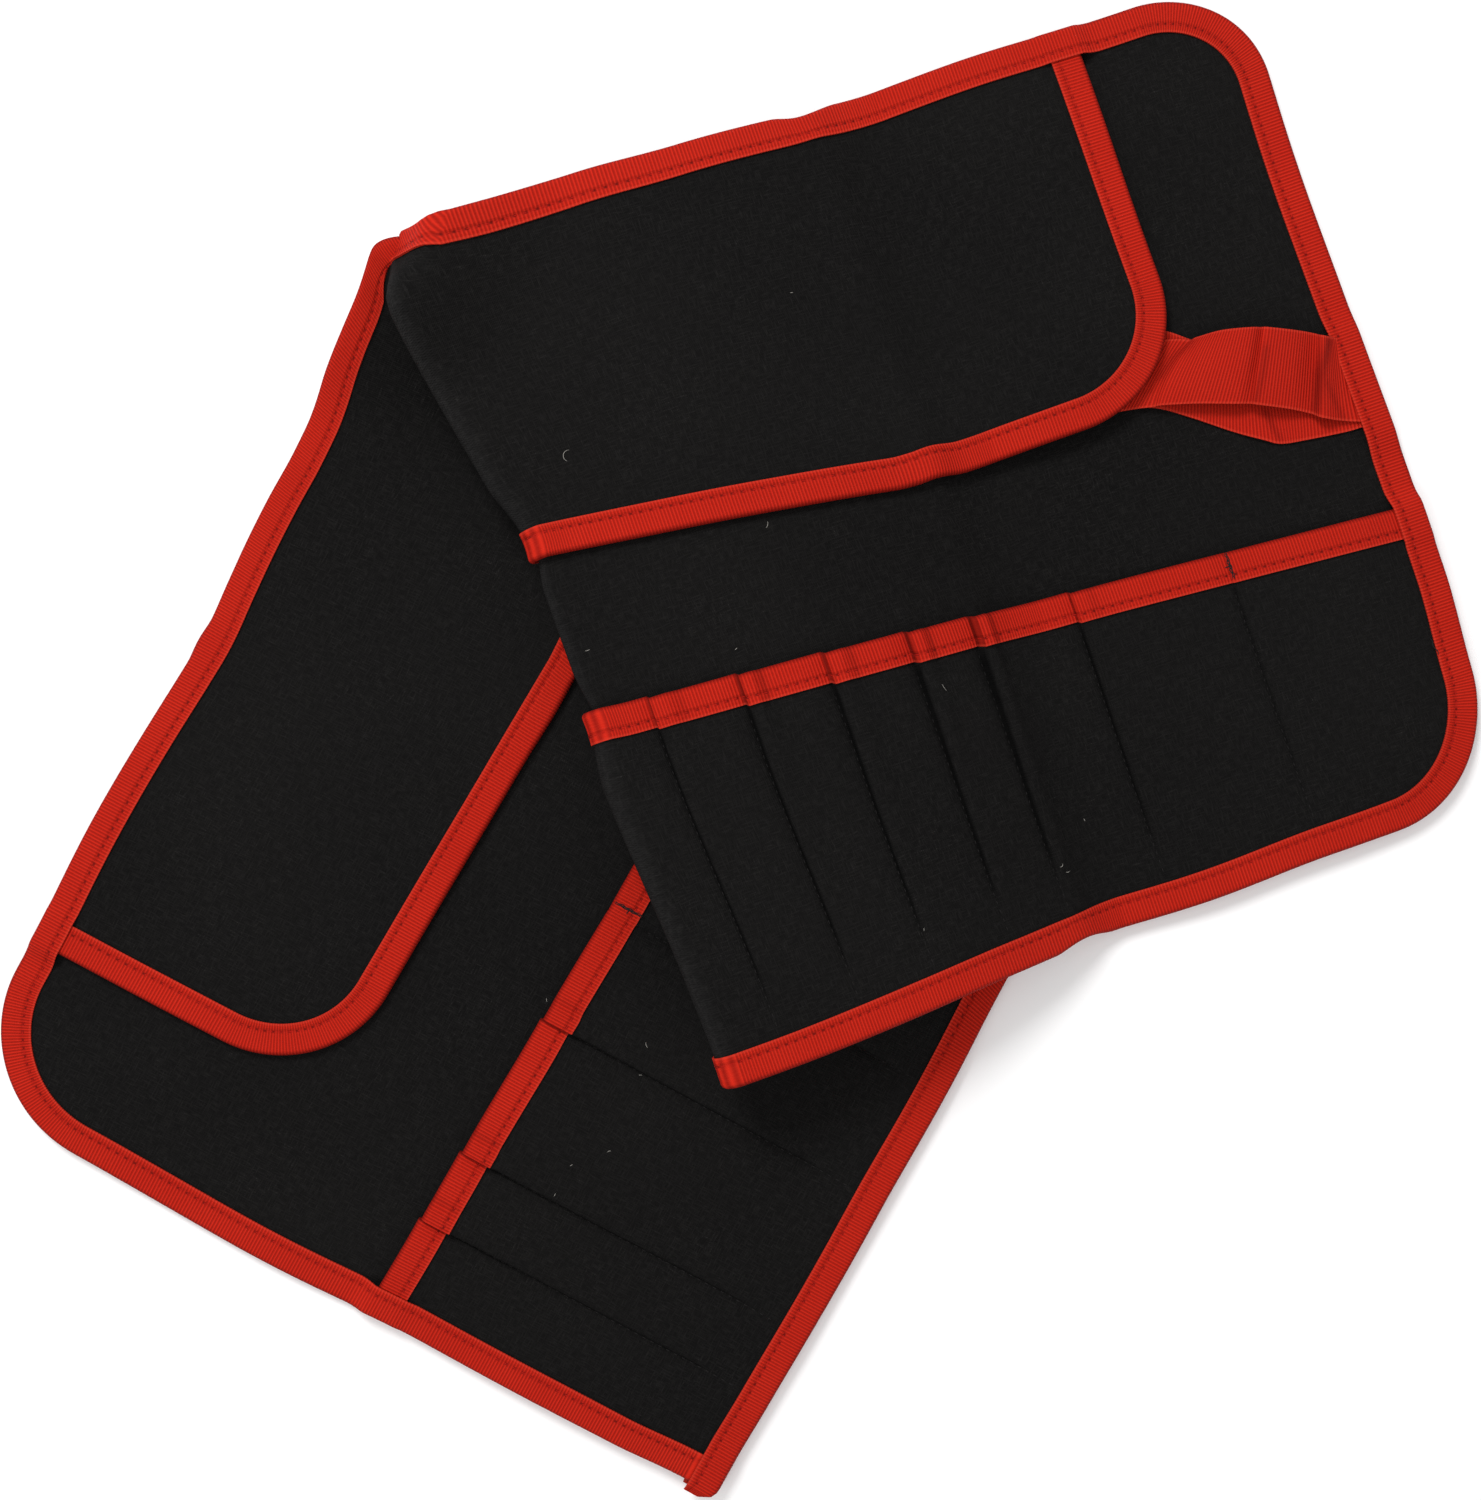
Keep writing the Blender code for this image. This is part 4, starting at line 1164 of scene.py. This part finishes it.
def make_tapes(material):
    def flap_low(along, across):
        return INNER_LEG + flap_lift(along, across)

    def pocket_low(along, across):
        return INNER_LEG + np.maximum(pocket_lift(along, across), 0)

    edge = folded_tape("edge_tape", "edge_binding", edge_places(), no_height, edge_tape_under, material)
    flap = folded_tape("flap_tape", "flap_binding", flap_places(), flap_low, flap_top, material)
    pocket = folded_tape("pocket_tape", "pocket_binding", pocket_places(), pocket_low, pocket_top, material)
    # painted shade at the foot of each tuck and in the valley past it
    write_values(pocket, "painted_shade", tuck_painted_shade(pocket_places()[..., 0]))
    return edge, flap, pocket


def curve_through(rows, steps):
    """A smooth curve through rows of points, with some steps between each row and the next."""
    rows = np.concatenate([2 * rows[:1] - rows[1:2], rows, 2 * rows[-1:] - rows[-2:-1]])
    made = []
    for k in range(1, len(rows) - 2):
        for t in np.arange(steps) / steps:
            a = 2 * rows[k] + (rows[k + 1] - rows[k - 1]) * t
            b = (2 * rows[k - 1] - 5 * rows[k] + 4 * rows[k + 1] - rows[k + 2]) * t**2
            c = (3 * rows[k] - rows[k - 1] - 3 * rows[k + 1] + rows[k + 2]) * t**3
            made.append((a + b + c) / 2)
    return np.array(made + [rows[-2]])


def strap_rows():
    """The strap's rows in metres: its upper edge, middle and lower edge at each place along it."""
    made = []
    for *places, height in STRAP_LOWER + STRAP_UPPER:
        heights = np.broadcast_to(height, 3)
        made.append([(*on_table(*place, high), high) for place, high in zip(places, heights)])
    return np.array(made)


def strap_shade(middle):
    """How dark the painted shade in the strap's creases is at each of its points."""
    shade = np.zeros(middle.shape[:2])
    is_upper = np.arange(len(middle)) >= len(STRAP_LOWER) * STRAP_STEPS
    for upper, line, wide, strength in STRAP_CREASES:
        away = line_distance(middle[..., 0], middle[..., 1], line, STRAP_HEIGHT)
        shade = np.where(is_upper[:, None] == upper, np.maximum(shade, strength * bell(away, wide)), shade)
    return shade


def make_strap(material):
    """One band: the lower layer up to the right end's tape, a fold under it, and the upper layer back."""
    lines = curve_through(strap_rows(), STRAP_STEPS)
    sides = np.linspace(-1, 1, 15)
    weights = np.stack([sides * (sides - 1) / 2, 1 - sides**2, sides * (sides + 1) / 2])
    middle = np.einsum("rkx,ks->rsx", lines, weights)
    middle[..., 2] += rippled(middle[..., 0], middle[..., 1])
    normal = unit(np.cross(np.gradient(middle, axis=0), np.gradient(middle, axis=1)))
    points = np.concatenate([(middle + side * normal * THIN / 2).reshape(-1, 3) for side in (-1, 1)])
    rows, wide = middle.shape[:2]
    uvs = stacked(run_along(middle[:, wide // 2])[:, None], sides * STRAP_WIDTH / 2)
    made = finished("strap_band", points, sheet_faces(rows, wide), uvs, material, "tie_strap")
    # painted shade along the strap's creases
    write_values(made, "painted_shade", strap_shade(middle))
    return made


def stitched_along(flat, under, step, length, height):
    """Short threads along a line of the flat layout, at a height on what lies under them."""
    along = flat[:, 0]
    across = flat[:, 1]
    points = placed(along, across, under(along, across) + height)
    run = run_along(points)
    over = placed(along, across, under(along, across) + height + 0.001) - points
    rows = []
    for number in range(int(run[-1] / step)):
        shares = np.linspace(0, 1, 5)
        places = number * step + (step - length) / 2 + shares * length
        line, out = (stacked(*(np.interp(places, run, axis) for axis in part.T)) for part in (points, over))
        sunk = (1 - np.sin(math.pi * shares)) * STITCH_SUNK
        rows.append(line - unit(out) * sunk[:, None])
    return rows


def make_stitches(material):
    """Stitches on each tape, near its inner edge."""
    depth = np.array([TAPE_ABOVE - STITCH_FROM_INSIDE])
    made = []
    for name, places, under in (
        ("edge_stitches", edge_places(depth), edge_tape_under),
        ("flap_stitches", flap_places(depth), flap_top),
        ("pocket_stitches", pocket_places(depth), pocket_top),
    ):
        rows = stitched_along(places[:, 0], under, STITCH_STEP, STITCH_LONG, OVER_TAPE)
        made.append(thread(name, rows, STITCH_RADIUS, material))
    return made


def make_divider_stitches(material):
    """Stitches between the pockets, from the bottom tape up to the tape over their mouth."""
    rows = []
    for place, _, _ in DIVIDERS:
        along = place - 0.0004
        across = np.linspace(TAPE_SHOWN + 0.002, float(pocket_mouth(along)) - TAPE_SHOWN - 0.001, 80)
        flat = stacked(along, across)
        rows += stitched_along(flat, pocket_top, DIVIDER_STITCH_STEP, DIVIDER_STITCH_LONG, 0.0)
    return thread("divider_stitches", rows, STITCH_RADIUS, material)


def make_bar_tacks(material):
    """Black bars of thread over the pockets' tape, and a loose end on the right end's tape."""
    rows = []
    steps = np.arange(12)
    for along, first, last in BAR_TACKS:
        across = np.linspace(first, last, 12)
        for aside in (-0.0003, 0.0, 0.0003):
            beside = along + aside + 0.0002 * np.sin(1.9 * steps + 9000 * aside)
            rows.append(placed(beside, across, pocket_top(beside, across) + OVER_TAPE + 0.0001))
        tick = np.linspace(along - 0.0018, along + 0.0006, 6)
        middle = (first + last) / 2 + 0 * tick
        rows.append(placed(tick, middle, pocket_top(tick, middle) + OVER_TAPE + 0.0002))
    (along, across), (end_along, end_across) = LOOSE_END
    along = np.linspace(along, end_along, 12) + 0.0003 * np.sin(0.9 * steps)
    across = np.linspace(across, end_across, 12)
    rows.append(placed(along, across, edge_under(along, across) + OVER_TAPE + 0.0002))
    return thread("bar_tacks", rows, BAR_RADIUS, material)


def on_cloth(right, down, cloths):
    """Where a pixel of the photograph falls on the highest of some sheets."""
    start = Vector(CAMERA_PLACE)
    toward = Vector((*on_table(right, down), 0.0)) - start
    hits = [cloth.ray_cast(start, toward.normalized()) for cloth in cloths]
    places = [place for hit, place, _, _ in hits if hit]
    return np.array(max(places, key=lambda place: place.z))


def make_lint(material, cloths):
    """Short pale fibres that lie on the cloth."""
    rows = []
    bpy.context.view_layer.update()
    for (right, down), length, heading, bend in LINT:
        line = []
        for share in np.linspace(-0.5, 0.5, 9):
            line.append(on_cloth(right, down, cloths) + (0.0, 0.0, LINT_HIGH))
            angle = math.radians(heading + bend * share)
            right += length / 8 * math.cos(angle)
            down -= length / 8 * math.sin(angle)
        rows.append(np.array(line))
    return thread("lint", rows, LINT_RADIUS, material)


def make_stage():
    mesh = bpy.data.meshes.new("floor")
    corners = ((-1, -1), (1, -1), (1, 1), (-1, 1))
    mesh.from_pydata([(x * FLOOR_REACH, y * FLOOR_REACH, 0) for x, y in corners], [], [(0, 1, 2, 3)])
    nodes = Nodes("pale floor", 0.9, 0.1)
    socket(nodes.shader, "Base Color", WHITE)
    mesh.materials.append(nodes.material)
    floor = linked("floor", mesh)


def make_surroundings():
    make_stage()
    scene = bpy.context.scene
    scene.world = bpy.data.worlds.new("pale studio")
    scene.world.use_nodes = True
    sky = scene.world.node_tree.nodes["Background"]
    socket(sky, "Color", WHITE)
    socket(sky, "Strength", SKY)
    for name, place, size, power in LIGHTS:
        data = bpy.data.lights.new(name, "AREA")
        data.shape = "DISK"
        data.size = size
        data.energy = power
        light = linked(name, data)
        light.location = place
        light.rotation_euler = (-light.location.normalized()).to_track_quat("-Z", "Y").to_euler()
    scene.view_settings.view_transform = "Standard"
    data = bpy.data.cameras.new("camera")
    data.sensor_width = SENSOR
    data.lens = SENSOR * CAMERA_PLACE[2] / (PIXEL * PHOTO_HIGH)
    data.clip_start = 0.05
    scene.camera = linked("camera", data)
    scene.camera.location = CAMERA_PLACE


def main():
    make_surroundings()
    canvas = canvas_material()
    tape = tape_material()
    strap_tape = tape_material("strap_tape", stitched=False)
    red_thread = plain_thread("red_thread", RED_THREAD)
    black_thread = plain_thread("black_thread", BLACK_THREAD)
    backing = make_backing(canvas)
    panel = make_pocket_panel(canvas)
    flap = make_flap(canvas)
    edge, flap_tape, pocket_tape = make_tapes(tape)
    strap = make_strap(strap_tape)
    stitches = make_stitches(red_thread)
    divider_rows = make_divider_stitches(black_thread)
    bar_tacks = make_bar_tacks(black_thread)
    make_lint(plain_thread("pale_lint", PALE_LINT), (backing, panel, flap))


main()
